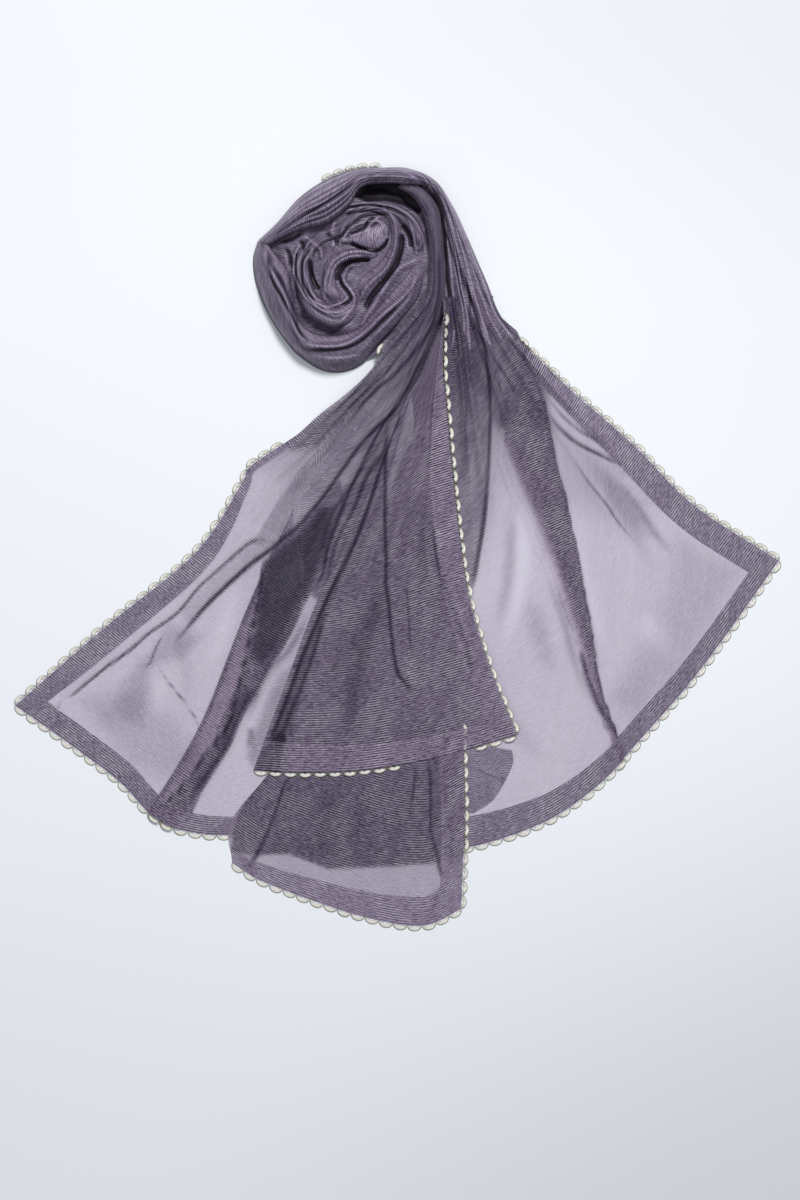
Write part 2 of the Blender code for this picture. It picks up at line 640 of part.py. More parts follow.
lay_run("lower_panel", lower_panel, MIDDLE_COLOUR)
lay_run("front_panel", front_panel, MIDDLE_COLOUR)

rounded_core("rosette_core", DEEP_COLOUR)
shoulder = lay_run("shoulder", run_of(SHOULDER, SHOULDER_FOLDS), STRAND_COLOUR)
lace_finish = material("shoulder_lace_trim", LACE_COLOUR, 0.45)
scalloped_lace("shoulder_lace", shoulder[7:12, -1], CORE_MIDDLE, lace_finish)
lay_run("outer_wrap", run_of(OUTER_WRAP, OUTER_WRAP_FOLDS), STRAND_COLOUR)
for name, sections, folds in (
    ("middle_coil", MIDDLE_COIL, COIL_FOLDS),
    ("inner_coil", INNER_COIL, COIL_FOLDS),
    ("petal", PETAL, ONE_FOLD),
    ("heart", HEART, ONE_FOLD),
):
    lay_run(name, run_of(sections, folds), STRAND_COLOUR)
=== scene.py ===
# %% [markdown]
# # A sheer dupatta laid out flat, with its middle rolled into a rosette
#
# A dupatta is one long rectangle of light cloth, hemmed all round and edged with scalloped lace. Here its
# middle is gathered and rolled into a rosette, and each end is fanned out below it. The solids of the
# part give every stretch of cloth its place. This lesson replaces each solid with thin cloth: finer folds,
# a weave that light passes through, turned hems, stitches and lace. Lengths are in millimetres until a
# mesh is made, because that is how a maker measures.

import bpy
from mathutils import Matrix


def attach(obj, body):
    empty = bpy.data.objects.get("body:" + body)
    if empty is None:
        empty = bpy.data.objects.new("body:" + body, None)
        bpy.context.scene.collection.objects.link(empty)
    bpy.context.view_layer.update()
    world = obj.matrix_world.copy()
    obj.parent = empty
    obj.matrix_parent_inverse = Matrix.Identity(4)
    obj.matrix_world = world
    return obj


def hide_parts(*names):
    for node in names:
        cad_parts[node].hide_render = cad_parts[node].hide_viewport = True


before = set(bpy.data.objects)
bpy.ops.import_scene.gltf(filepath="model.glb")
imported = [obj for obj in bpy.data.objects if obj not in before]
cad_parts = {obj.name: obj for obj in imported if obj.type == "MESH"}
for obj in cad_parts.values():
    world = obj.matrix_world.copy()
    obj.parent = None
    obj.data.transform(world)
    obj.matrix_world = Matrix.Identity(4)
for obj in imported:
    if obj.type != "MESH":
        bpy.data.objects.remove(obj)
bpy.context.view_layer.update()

# %% [markdown]
# ## Tables and smooth curves
#
# Every stretch and fold below is drawn with a few marks, as a maker draws a fair curve through chalk marks
# on cloth. These tools name the columns of a table, and run smooth curves and lines through its rows.

# %% Units, and tables with named columns
from math import pi
from types import SimpleNamespace

import bpy
import numpy as np
from mathutils import Matrix, Vector

MM = 0.001
BODY = "root"


def table(names, *rows):
    """Named columns from rows of numbers."""
    return SimpleNamespace(**{n: np.array(c, float) for n, c in zip(names.split(), zip(*rows))})


# %% Smooth steps and smooth curves
def smooth_step(x):
    x = np.clip(x, 0, 1)
    return x * x * (3 - 2 * x)


def through(values, at):
    """Values between the rows of a table, on a smooth curve through them. at counts rows from 0."""
    values, at = np.asarray(values, float), np.asarray(at, float)
    first = np.clip(np.floor(at).astype(int), 0, len(values) - 2)
    share = at - first
    share = share.reshape(share.shape + (1,) * (values.ndim - 1))
    padded = np.concatenate([[2 * values[0] - values[1]], values, [2 * values[-1] - values[-2]]])
    p0, p1, p2, p3 = (padded[first + k] for k in range(4))
    return 0.5 * (2 * p1 + (p2 - p0) * share + (2 * p0 - 5 * p1 + 4 * p2 - p3) * share**2
                  + (3 * p1 - p0 - 3 * p2 + p3) * share**3)


# %% Lines, and places along them
def distances(line):
    """How far along a line each of its points lies."""
    return np.concatenate([[0], np.cumsum(np.linalg.norm(np.diff(line, axis=0), axis=1))])


def read_off(line, marks, at):
    """The places on a line that lie at given marks, when marks tells the mark of each of its points."""
    return np.stack([np.interp(at, marks, column) for column in line.T], axis=-1)


def smooth_line(points, step=4.0):
    """A smooth line through a few points, with a point about every step millimetres."""
    points = np.asarray(points, float)
    fine = through(points, np.linspace(0, len(points) - 1, 30 * len(points)))
    length = distances(fine)
    return read_off(fine, length, np.linspace(0, length[-1], max(2, int(length[-1] / step) + 1)))


# %% [markdown]
# ## Camera, floor and light
#
# The stole is looked at from straight above, so the camera hangs over it and points down. A long lens from
# four metres keeps the raised rosette from leaning outwards. The floor is a plain pale sweep, and one big
# soft lamp from the upper right gives the low folds their shadows, with a pale sky to fill them.

# %% Camera
CAMERA_HEIGHT = 4000
VIEW_LENGTH = 1200
VIEW_CENTRE = (4, -51)
SENSOR = 36

camera_data = bpy.data.cameras.new("camera")
camera_data.sensor_fit = "VERTICAL"
camera_data.sensor_height = SENSOR
camera_data.lens = SENSOR * CAMERA_HEIGHT / VIEW_LENGTH
camera_data.clip_end = 50
camera = bpy.data.objects.new("camera", camera_data)
camera.location = (VIEW_CENTRE[0] * MM, VIEW_CENTRE[1] * MM, CAMERA_HEIGHT * MM)
bpy.context.scene.collection.objects.link(camera)
bpy.context.scene.camera = camera
print("lens", round(camera_data.lens, 1), "mm")

# %% Deselect, so that no operator acts on the solids
def deselect():
    if bpy.context.object and bpy.context.object.mode != "OBJECT":
        bpy.ops.object.mode_set(mode="OBJECT")
    bpy.ops.object.select_all(action="DESELECT")


deselect()

# %% Floor
FLOOR_SIZE = 8.0  # metres

bpy.ops.mesh.primitive_plane_add(size=FLOOR_SIZE, location=(0, 0, 0))
floor = bpy.context.object
floor.name = "floor"
print("floor", FLOOR_SIZE, "m wide")

# %% Sky
SKY_COLOUR, SKY_STRENGTH = (0.93, 0.96, 1.0, 1), 0.44

world = bpy.data.worlds.new("studio")
world.use_nodes = True
sky = world.node_tree.nodes["Background"]
sky.inputs["Color"].default_value = SKY_COLOUR
sky.inputs["Strength"].default_value = SKY_STRENGTH
bpy.context.scene.world = world
print("sky strength", SKY_STRENGTH)

# %% Lamp, aimed at the middle of the stole
LAMP_PLACE, LAMP_SIZE = (0.60, 2.4, 3.0), 0.9  # metres
LAMP_WATTS, LAMP_COLOUR = 116, (1.0, 0.99, 0.98)

lamp_data = bpy.data.lights.new("window", "AREA")
lamp_data.shape, lamp_data.size = "DISK", LAMP_SIZE
lamp_data.energy, lamp_data.color = LAMP_WATTS, LAMP_COLOUR
lamp = bpy.data.objects.new("window", lamp_data)
lamp.location = LAMP_PLACE
lamp.rotation_euler = Vector(LAMP_PLACE).to_track_quat("Z", "Y").to_euler()
bpy.context.scene.collection.objects.link(lamp)
print("lamp", round(Vector(LAMP_PLACE).length, 2), "m away")

# %% Plain colours, and enough see-through layers
SEE_THROUGH_LAYERS = 40

bpy.context.scene.view_settings.view_transform = "Standard"
if hasattr(bpy.context.scene, "cycles"):
    bpy.context.scene.cycles.transparent_max_bounces = SEE_THROUGH_LAYERS

# %% [markdown]
# ## Shader maths that reads like sums
#
# A weave is a small sum of waves. Blender's node trees say that with many Math nodes, so a tiny class wraps
# a node's output and turns +, -, * and / into those nodes. Everything else comes from one method, which
# takes the node's type, its settings and what goes into its sockets.

# %% A number that varies over a surface
class Varying:
    def __init__(self, finish, socket):
        self.finish, self.socket = finish, socket

    def sum_with(self, operation, *values):
        return self.finish.node("ShaderNodeMath", {"operation": operation}, dict(enumerate(values)))

    def __add__(self, other): return self.sum_with("ADD", self, other)
    def __radd__(self, other): return self.sum_with("ADD", other, self)
    def __sub__(self, other): return self.sum_with("SUBTRACT", self, other)
    def __rsub__(self, other): return self.sum_with("SUBTRACT", other, self)
    def __mul__(self, other): return self.sum_with("MULTIPLY", self, other)
    def __rmul__(self, other): return self.sum_with("MULTIPLY", other, self)
    def __truediv__(self, other): return self.sum_with("DIVIDE", self, other)
    def __rtruediv__(self, other): return self.sum_with("DIVIDE", other, self)
    def __pow__(self, other): return self.sum_with("POWER", self, other)
    def __rpow__(self, other): return self.sum_with("POWER", other, self)

    def sine(self): return self.sum_with("SINE", self)

    def part(self, output):
        return Varying(self.finish, self.socket.node.outputs[output])


# %% A finish, and its one way to make a node
class Finish:
    def __init__(self, name, **constants):
        self.material = bpy.data.materials.new(name)
        self.material.use_nodes = True
        self.tree = self.material.node_tree
        self.shader = self.tree.nodes["Principled BSDF"]
        for socket, value in constants.items():
            self.shader.inputs[socket.replace("_", " ")].default_value = value

    def connect(self, value, socket):
        if isinstance(value, Varying):
            self.tree.links.new(value.socket, socket)
        else:
            socket.default_value = value

    def node(self, kind, settings, sockets, output=0):
        made = self.tree.nodes.new(kind)
        for setting, value in settings.items():
            if setting == "stops":
                while len(made.color_ramp.elements) < len(value):
                    made.color_ramp.elements.new(0.5)
                for element, (at, colour) in zip(made.color_ramp.elements, value):
                    element.position, element.color = at, colour
            else:
                setattr(made, setting, value)
        for socket, value in sockets.items():
            self.connect(value, made.inputs[socket])
        return Varying(self, made.outputs[output])

    def ramp(self, value, stops):
        return self.node("ShaderNodeValToRGB", {"stops": stops}, {"Fac": value})

    def noise(self, place, per_metre, detail):
        """Noise with so many grains a metre, across and along the cloth."""
        scaled = self.node("ShaderNodeVectorMath", {"operation": "MULTIPLY"}, {0: place, 1: (*per_metre, 1.0)})
        return self.node("ShaderNodeTexNoise", {"noise_dimensions": "2D"},
                         {"Vector": scaled, "Scale": 1.0, "Detail": detail})

    def step(self, value, low, high):
        """0 below low, 1 above high, and a smooth slope between."""
        return self.node("ShaderNodeMapRange", {"interpolation_type": "SMOOTHSTEP"},
                         {"Value": value, "From Min": low, "From Max": high})

    def surface(self, socket, value):
        self.connect(value, self.shader.inputs[socket])

    def mix(self, share, first, second, blend_type="MIX"):
        return self.node("ShaderNodeMix", {"data_type": "RGBA", "blend_type": blend_type},
                         {"Factor": share, 6: first, 7: second}, output=2)


print("a finish can:", [name for name in vars(Finish) if name[0] != "_"])

# %% [markdown]
# ### The floor's paint
#
# Light falls off a little towards the corners of the sweep. The floor's own UV map, centred and in metres,
# says where a point lies, and a few smooth steps of it make the paint darker there.

# %% Paint the floor
FLOOR_COLOUR = (0.86, 0.885, 0.93)

floor_finish = Finish("pale_floor", Roughness=0.9)
floor_finish.shader.inputs["Specular IOR Level"].default_value = 0.1
floor_place = floor_finish.node("ShaderNodeSeparateXYZ", {}, {
    0: floor_finish.node("ShaderNodeUVMap", {"uv_map": "UVMap"}, {})})
across, along = ((floor_place.part(axis) - 0.5) * FLOOR_SIZE for axis in "XY")
fall_off = (1.03 - 0.13 * floor_finish.step(across + along, 0.2, 1.0)
            - 0.17 * floor_finish.step(across - along, 0.3, 1.1)
            - 0.07 * floor_finish.step(along, 0.2, 0.6) - 0.05 * floor_finish.step(-1 * along, 0.2, 0.6))
floor_finish.surface("Base Color", floor_finish.node("ShaderNodeVectorMath", {"operation": "SCALE"}, {
    0: FLOOR_COLOUR, "Scale": fall_off}))
floor.data.materials.append(floor_finish.material)
print("floor paint:", len(floor_finish.tree.nodes), "nodes")

# %% [markdown]
# ## The cloth: a sheer weave
#
# The cloth is a fine open weave with slightly thicker threads across it, about 2.4 mm apart. One layer lets
# most of the light through and looks pale. Each further layer takes its share again, so folds, hems and
# gathered cloth look darker. Every sheet carries a number called plies, for how many layers lie together
# there, and the finish works out how much light gets through them. The plies are also raised along crease
# lines, in valleys and in soft patches to paint shade there, and lowered to paint lighter streaks.

# %% Colours and counts of the weave
# the darkest colours, from about 8 plies on, are mostly reached where extra plies paint shade in creases,
# valleys and the rosette's hollow; some are cloth folded many times
PLY_COLOURS = (  # plies, and the colour that so many layers show
    (0.8, (0.452, 0.362, 0.488, 1)),
    (1.8, (0.212, 0.174, 0.247, 1)),
    (3.2, (0.140, 0.114, 0.166, 1)),
    (5.5, (0.084, 0.067, 0.107, 1)),
    (8.0, (0.044, 0.033, 0.062, 1)),
    (12.0, (0.012, 0.008, 0.020, 1)),
)
GATHERED_COLOURS = (
    (2.5, (0.270, 0.230, 0.305, 1)),
    (5.5, (0.150, 0.125, 0.176, 1)),
    (7.5, (0.092, 0.075, 0.112, 1)),
    (9.5, (0.044, 0.033, 0.056, 1)),
    (12.0, (0.008, 0.005, 0.012, 1)),
)
MOST_PLIES = 12.0
SEVERAL_PLIES = 2.6  # from here on, the cloth looks layered
COVER = 0.40  # share of the light that one layer stops
RIB_PITCH = 2.4
WARP_PITCH = 0.9
SHEEN = (0.86, 0.80, 0.92, 1)
print(len(PLY_COLOURS) + len(GATHERED_COLOURS), "colours of cloth")


# %% A ribbed weave that lets light through
def weave(name, colours=PLY_COLOURS, cover=COVER, relief=0.3, contrast=1.0, least=0.0, slubs=1.0,
          ribbing=1.0):
    """relief: how deep the ribs look. contrast: of their colours. least: how far one layer alone already
    looks like several. slubs and ribbing: how much the uneven threads and the ribs show."""
    finish = Finish(name, Roughness=0.5, Sheen_Weight=0.10, Sheen_Roughness=0.4)
    finish.shader.inputs["Sheen Tint"].default_value = SHEEN
    finish.shader.inputs["Specular IOR Level"].default_value = 0.35
    place = finish.node("ShaderNodeUVMap", {"uv_map": "cloth"}, {})
    split = finish.node("ShaderNodeSeparateXYZ", {}, {0: place})
    across, along = split.part("X"), split.part("Y")
    plies = finish.node("ShaderNodeAttribute", {"attribute_name": "plies"}, {}, output="Fac")
    # uneven threads, fine grain, livelier patches and a slow drift in how dense the weave is
    slub = finish.noise(place, (110.0, 900.0), 2.0)
    grain = finish.noise(place, (240.0, 900.0), 1.0)
    patches = finish.noise(place, (48.0, 26.0), 2.0)
    drift = finish.noise(place, (18.0, 7.0), 1.0)
    # waves of the thick threads across, and of the thin ones along
    ribs = 0.5 + 0.5 * (along * (2 * pi / (RIB_PITCH * MM)) + slub * 0.9).sine()
    warp = 0.5 + 0.5 * (across * (2 * pi / (WARP_PITCH * MM))).sine()
    layered = least + (1 - least) * finish.step(plies, 0.9, SEVERAL_PLIES)  # 0 on one layer, 1 on several
    lit = finish.step(patches, 0.36, 0.62)
    # each further layer lets its own share of the light through
    uneven = (1 - layered) * 0.45 * (drift - 0.5)
    open_share = (1 - cover * (0.94 + 0.12 * ribs + 0.10 * slub + uneven)) ** plies
    finish.surface("Alpha", 1 - open_share)
    # the colour of so many layers, lighter on the ribs and darker between
    colour = finish.ramp(plies / MOST_PLIES, [(count / MOST_PLIES, c) for count, c in colours])
    ribbed = ribbing * (0.08 + 0.30 * lit + layered * (0.60 + 1.0 * lit)) * (ribs - 0.45)
    grained = (0.5 + 1.3 * layered) * (grain - 0.5) + slubs * (0.8 + 1.2 * layered) * (slub - 0.5)
    mottled = layered * (0.14 * lit - 0.07) + (1 - layered) * 0.35 * (drift - 0.5)
    shade = 1 + contrast * (ribbed + 0.12 * (warp - 0.5) + grained) + mottled
    scaled = finish.node("ShaderNodeVectorMath", {"operation": "SCALE"}, {0: colour, "Scale": shade})
    finish.surface("Base Color", finish.node("ShaderNodeHueSaturation", {}, {
        "Saturation": 1.72 - 0.50 * shade, "Color": scaled}))
    height = ribs * 0.7 + warp * 0.15 + slub * 0.3
    finish.surface("Normal", finish.node("ShaderNodeBump", {}, {
        "Strength": relief, "Distance": 0.0006, "Height": height}))
    return finish.material


CLOTH = weave("sheer_weave")
GATHERED = weave("gathered_weave", colours=GATHERED_COLOURS, cover=0.7, relief=0.15, contrast=0.75,
                 ribbing=0.4)
HEM = weave("hem_weave", contrast=1.35, least=1.0, slubs=0.35, ribbing=0.8)
PANEL_HEM = weave("panel_hem_weave", contrast=1.2, least=0.35)
print("finishes:", CLOTH.name, GATHERED.name, HEM.name, PANEL_HEM.name)

# %% [markdown]
# ## Lofting a stretch of cloth
#
# Each stretch runs from the rosette down to its hem. A short table gives its sections: where its two sides
# A and B lie, how high they are held (foot), how far the middle arches (crown) and how deep its soft folds
# run (ripple). A sheet is a plain grid whose vertices are moved to the lofted points: rows cross the
# stretch, columns run down it. Where the cloth is doubled back on itself, the grid really folds over.

# %% Names of the columns, and the size of a grid's faces
SECTION = "ax ay bx by foot_a foot_b crown ripple"
FOLD = "at at_hem height width until"
NO_FOLDS = table(FOLD, (0.5, 0.5, 0.0, 0.1, 1.0))
ROW_STEP = 3.0
COLUMN_STEP = 3.2
FINE_STEP = 2.2  # for the sheets that show most
HEM_WIDTH = 24.0
print("a section gives:", SECTION)


# %% What can be said about a stretch
def run_of(sections, folds=NO_FOLDS, **more):
    """A stretch to loft. Its hem is the line of its end; hem_side is the side that has a hem, and the rows
    at which that hem and its lace begin are hem_from and lace_from."""
    run = SimpleNamespace(
        sections=sections, folds=folds, row_step=ROW_STEP, column_step=COLUMN_STEP,
        plies=1.0, zones=(), crease=None,
        # how it lies: its height, how deep its slow waves are and where they start, and how far its two
        # ends dip, over the length of a dive
        rests_at=0.2, unrest=0.25, turn=0.0, dips=(0.0, 0.0), dive=20.0,
        # a tuck across it: the side it leans to, the line of its edge, how far its hidden ply thins out
        # and between which shares of the length it fades, and the plies on and beside the edge
        tuck=None, leans=1, fold_line=None, soft_tuck=0.0, tuck_fades=None, tuck_line=3.0, tuck_plies=0.0,
        # its end and its one hemmed side: widths of the hems, and spans where the edge shows no lace
        hem=None, bow_from=len(sections.ax) - 4, end_hem=HEM_WIDTH, hem_side=None, hem_width=None,
        panel_hem=False, lace_from=0, no_lace=None, no_side_lace=None)
    vars(run).update(more)
    run.hem_from = more.get("hem_from", run.lace_from)
    return run


# %% Rows, spread evenly along the stretch
def even_rows(sections, step):
    """Row positions that lie evenly along the middle of the stretch, and their distances."""
    last = len(sections.ax) - 1
    fine = np.linspace(0, last, 60 * last + 1)
    middle = np.stack([through((sections.ax + sections.bx) / 2, fine),
                       through((sections.ay + sections.by) / 2, fine)], axis=1)
    length = distances(middle)
    at = np.linspace(0, length[-1], max(4, int(round(length[-1] / step))) + 1)
    return np.interp(at, length, fine), at


def rows_of(run):
    """The rows of a stretch. One of them is moved to lie right along the top of the end hem."""
    rows, along = even_rows(run.sections, run.row_step)
    if run.hem is not None:
        hem_top = along[-1] - run.end_hem
        run.hem_row = np.argmin(np.abs(along - hem_top))
        rows[run.hem_row], along[run.hem_row] = np.interp(hem_top, along, rows), hem_top
    run.side_from = int(np.argmin(np.abs(rows - run.hem_from)))
    run.side_lace_from = int(np.argmin(np.abs(rows - run.lace_from)))
    return rows, along


# %% [markdown]
# ### Where a share of the width lies
#
# A place on a stretch is its row and its share of the width, 0 at side A and 1 at side B. The cloth ends a
# little inside the outline, because the lace fills the rest, and its last rows bow out to follow the hem.
# The way back, from a drawn line to rows and shares, is found by looking for the nearest place.

# %% From rows and shares to places
EDGE_INSET = 5.0


def spaced_along(points, shares):
    fine = smooth_line(points, step=2.0)
    length = distances(fine)
    return read_off(fine, length, shares * length[-1])


def plan_of(run, rows, shares):
    """Places on the surface of an array of shares of the width, one line of it for each row."""
    s = run.sections
    last = len(s.ax) - 1
    a = np.stack([through(s.ax, rows), through(s.ay, rows)], axis=1)
    b = np.stack([through(s.bx, rows), through(s.by, rows)], axis=1)
    across = (b - a) / np.linalg.norm(b - a, axis=1, keepdims=True)
    inset = EDGE_INSET * smooth_step((rows - run.hem_from) / 0.8 + 1)[:, None]
    a = a + across * inset * (run.hem_side == "a")
    b = b - across * inset * (run.hem_side == "b")
    plan = a[:, None] + shares[..., None] * (b - a)[:, None]
    if run.hem is not None:
        pull = smooth_step((rows - run.bow_from) / (last - run.bow_from))[:, None, None]
        ends = np.array([run.hem[0], run.hem[-1]], float)
        straight = ends[0] + shares[..., None] * (ends[1] - ends[0])
        towards_top = np.array([(s.ax[-2] + s.bx[-2]) / 2, (s.ay[-2] + s.by[-2]) / 2]) - ends.mean(axis=0)
        towards_top = towards_top / np.linalg.norm(towards_top) * EDGE_INSET
        plan = plan + pull * (spaced_along(run.hem, np.clip(shares, 0, 1)) - straight + towards_top)
    return plan, np.linalg.norm(b - a, axis=1)


# %% And back, from a drawn line to rows and shares
def traced(run, points):
    """A line of places on the cloth as (rows, shares of the width)."""
    last = len(run.sections.ax) - 1
    rows = np.linspace(0, last, 40 * last + 1)
    shares = np.tile(np.linspace(-0.02, 1.02, 157), (len(rows), 1))
    plan, _ = plan_of(run, rows, shares)
    found = []
    for point in smooth_line(points, step=6.0):
        k = np.argmin(((plan - point) ** 2).sum(axis=2))
        found.append((rows[k // shares.shape[1]], shares[0, k % shares.shape[1]]))
    found = np.array(sorted(found))
    return found[:, 0], found[:, 1]


# %% [markdown]
# ### A crease and a tuck
#
# Columns follow the folds, so that a crisp fold has a column of points right along it. A crease is given by
# where it runs, how high it stands, how softly it falls away on each side, and how much cloth is folded up
# beside it, because folded cloth is darker. A tuck is deeper: the cloth turns back under itself and forward
# again. Nine points give its outline, flat at one end of a wing and fully folded at the other.

# %% A crease
CREASE_COLUMNS = (-2.5, -0.7, 0.0, 0.7, 2.5)
CREASE_ENDS = 0.18  # share of its length over which a crease fades at each end
CREASE_FADE = 1.5  # how soft the far edge of its strip is


def crease(points, height, soft, plies, strip):
    """A fold line. soft: widths of its slopes on sides A and B. plies: how many lie folded in a strip this
    wide, on side B."""
    return SimpleNamespace(points=np.array(points, float), height=height, soft=soft, plies=plies, strip=strip)


def trace_crease(run, rows, width):
    """Row by row, how far from side A the crease of a stretch lies, and how strong it is."""
    at_rows, at_shares = traced(run, run.crease.points)
    share = (rows - at_rows[0]) / max(at_rows[-1] - at_rows[0], 1e-6)
    strength = smooth_step(share / CREASE_ENDS) * smooth_step((1 - share) / CREASE_ENDS)
    return np.interp(rows, at_rows, at_shares) * width, strength


# %% A tuck
TUCK_RAMP = 9.0
TUCK_PITCH = 0.7  # from one layer of a tuck to the next
# a tuck's nine points are joined by this many columns: more where it lies flat, a few round its bends
TUCK_AT = np.concatenate([k + np.arange(n) / n for k, n in enumerate((5, 12, 4, 4, 12, 4, 4, 12))] + [[8.0]])
CRISP_EDGE, BASE_EDGE, TUCK_END = 3.0, 7.0, 7.9
DEEPEST_TUCK = 0.28  # share of the width
FULL_RIDGE_WIDTH = 70  # a narrower stretch has a lower ridge
FLAT_RIDGE = ((-5, 0), (-3.6, 1.2), (-1.4, 2.2), (0, 2.3), (1.3, 1.9), (2.5, 1.4), (3.7, 0.9), (4.8, 0.4),
              (6, 0))
print("a tuck is", len(TUCK_AT), "columns wide")


def tuck_shape(edge, depth, folded, leans, scale):
    """A tuck across the cloth, row by row: distances from side A, and heights counted in layers."""
    bend = 0.8
    doubled = np.stack([np.stack(np.broadcast_arrays(x, z), axis=-1) for x, z in (
        (-depth - TUCK_RAMP, 0.0), (-depth - 2.0, 2.0), (-bend + 0 * depth, 2.0), (0 * depth, 1.5),
        (-bend + 0 * depth, 1.0), (-depth + bend, 1.0), (-depth, 0.5), (-depth + bend, 0.0),
        (3.0 + 0 * depth, 0.0))], axis=1)
    ridge = np.array(FLAT_RIDGE)[None] * scale[:, None, None]
    shape = folded[:, None, None] * doubled + (1 - folded[:, None, None]) * ridge
    if leans < 0:
        shape = (shape * (-1, 1))[:, ::-1]
    shape = shape + np.stack([edge, 0 * edge], axis=1)[:, None]
    at = TUCK_AT if leans > 0 else 8 - TUCK_AT[::-1]
    return np.moveaxis(through(np.moveaxis(shape, 1, 0), at), 0, 1)


def tuck_of(run, rows, width):
    """The edge, depth and shape of a stretch's tuck, row by row, and how far it is folded."""
    if run.fold_line is None:
        edge = width * through(run.tuck.edge, rows)
    else:
        edge = width * np.interp(rows, *traced(run, smooth_line(run.fold_line, step=4.0)))
    depth = np.minimum(through(run.tuck.depth, rows), DEEPEST_TUCK * width)
    folded = np.clip(through(run.tuck.folded, rows), 0, 1)
    shape = tuck_shape(edge, depth, folded, run.leans, np.minimum(1.0, width / FULL_RIDGE_WIDTH))
    return SimpleNamespace(edge=edge[:, None], depth=depth[:, None], folded=folded[:, None], shape=shape)


# %% [markdown]
# ### Columns down the stretch
#
# The columns run from side A to side B through every guide: the inner edge of the side hem, the crease or
# the tuck. Between two guides they are spread evenly, so no face of the grid straddles a crisp line.

# %% Columns through the guides
WIDEST_HEM = 0.3  # share of the width


def columns_between(guides, step):
    """Columns through every guide, spread evenly between. A guide is its distance from side A, row by row."""
    columns = [guides[0]]
    for left, right in zip(guides, guides[1:]):
        count = max(1, int(np.ceil(np.percentile(right - left, 90) / step)))
        columns += [left + (right - left) * k / count for k in range(1, count + 1)]
    return np.stack(columns, axis=1)


def crease_guides(line, first, last):
    """Five guides close together along a crease, between the first guide and the last."""
    guides = [first]
    for offset in CREASE_COLUMNS:
        guides.append(np.clip(line + offset, guides[-1] + 0.05, last - 0.05))
    return guides[1:]


def columns_of(run, rows, width, crease_line, tuck):
    """Each point's distance from side A, and its height where a tuck folds the cloth over."""
    wide = HEM_WIDTH if run.hem_width is None else through(run.hem_width, rows)
    hem = np.minimum(wide, WIDEST_HEM * width)
    before = [0 * width, hem] if run.hem_side == "a" else [0 * width]
    after = [width - hem, width] if run.hem_side == "b" else [width]
    if tuck is None:
        middle = [] if crease_line is None else crease_guides(crease_line, before[-1], after[0])
        x = columns_between(before + middle + after, run.column_step)
        z = np.zeros(x.shape)
    else:
        before_tuck = columns_between(before + [tuck.shape[:, 0, 0]], run.column_step)
        after_tuck = columns_between([tuck.shape[:, -1, 0]] + after, run.column_step)
        x = np.concatenate([before_tuck, tuck.shape[:, 1:-1, 0], after_tuck], axis=1)
        z = np.zeros(x.shape)
        run.tuck_column = before_tuck.shape[1] - 1
        z[:, run.tuck_column + 1:-after_tuck.shape[1]] = tuck.shape[:, 1:-1, 1] * TUCK_PITCH
    if run.hem_side is not None:
        inner_edge = hem if run.hem_side == "a" else width - hem
        run.hem_column = int(np.argmin(np.abs(x - inner_edge[:, None]).mean(axis=0)))
    return x, z


# %% [markdown]
# ### How many layers lie together, and where shade and light are painted
#
# A stretch starts with its table of plies, so many for each section. A tuck adds the layers that lie doubled
# beside its crisp edge, and thins out where its hidden ply ends. Zones are patches with more or fewer plies,
# given by their corners and by how soft their edge is: some are cloth that really lies doubled, others are
# painted patches of shade or light.

# %% Zones of more or fewer layers, or of painted shade and light
def zone(corners, plies, soft):
    """A patch with more or fewer plies: where more or fewer layers lie together, or where shade or light is
    painted. soft: width of its edge.
    """
    return SimpleNamespace(corners=np.array(corners, float), plies=plies, soft=soft)


def depth_inside(points, corners):
    """How far inside a closed outline each point lies; below 0 outside."""
    nearest = np.full(points.shape[:-1], 1e9)
    inside = np.zeros(points.shape[:-1], bool)
    for p, q in zip(corners, np.roll(corners, -1, axis=0)):
        along = q - p
        t = np.clip(((points - p) @ along) / (along @ along), 0, 1)
        nearest = np.minimum(nearest, np.linalg.norm(points - p - t[..., None] * along, axis=-1))
        crosses = (p[1] > points[..., 1]) != (q[1] > points[..., 1])
        at_x = p[0] + (points[..., 1] - p[1]) / (q[1] - p[1] + 1e-12) * along[0]
        inside ^= crosses & (points[..., 0] < at_x)
    return np.where(inside, nearest, -nearest)


# %% Layers from the table, the tuck and the zones
def plies_from_table(run, rows, share):
    """run.plies is one count, or one for each section, or one for each side of each section."""
    if np.ndim(run.plies) == 0:
        return np.full(share.shape, float(run.plies))
    counts = through(run.plies, rows)[:, None]
    if np.ndim(run.plies) == 1:
        return counts + np.zeros(share.shape)
    return counts[..., 0] + (counts[..., 1] - counts[..., 0]) * np.clip(share, 0, 1)


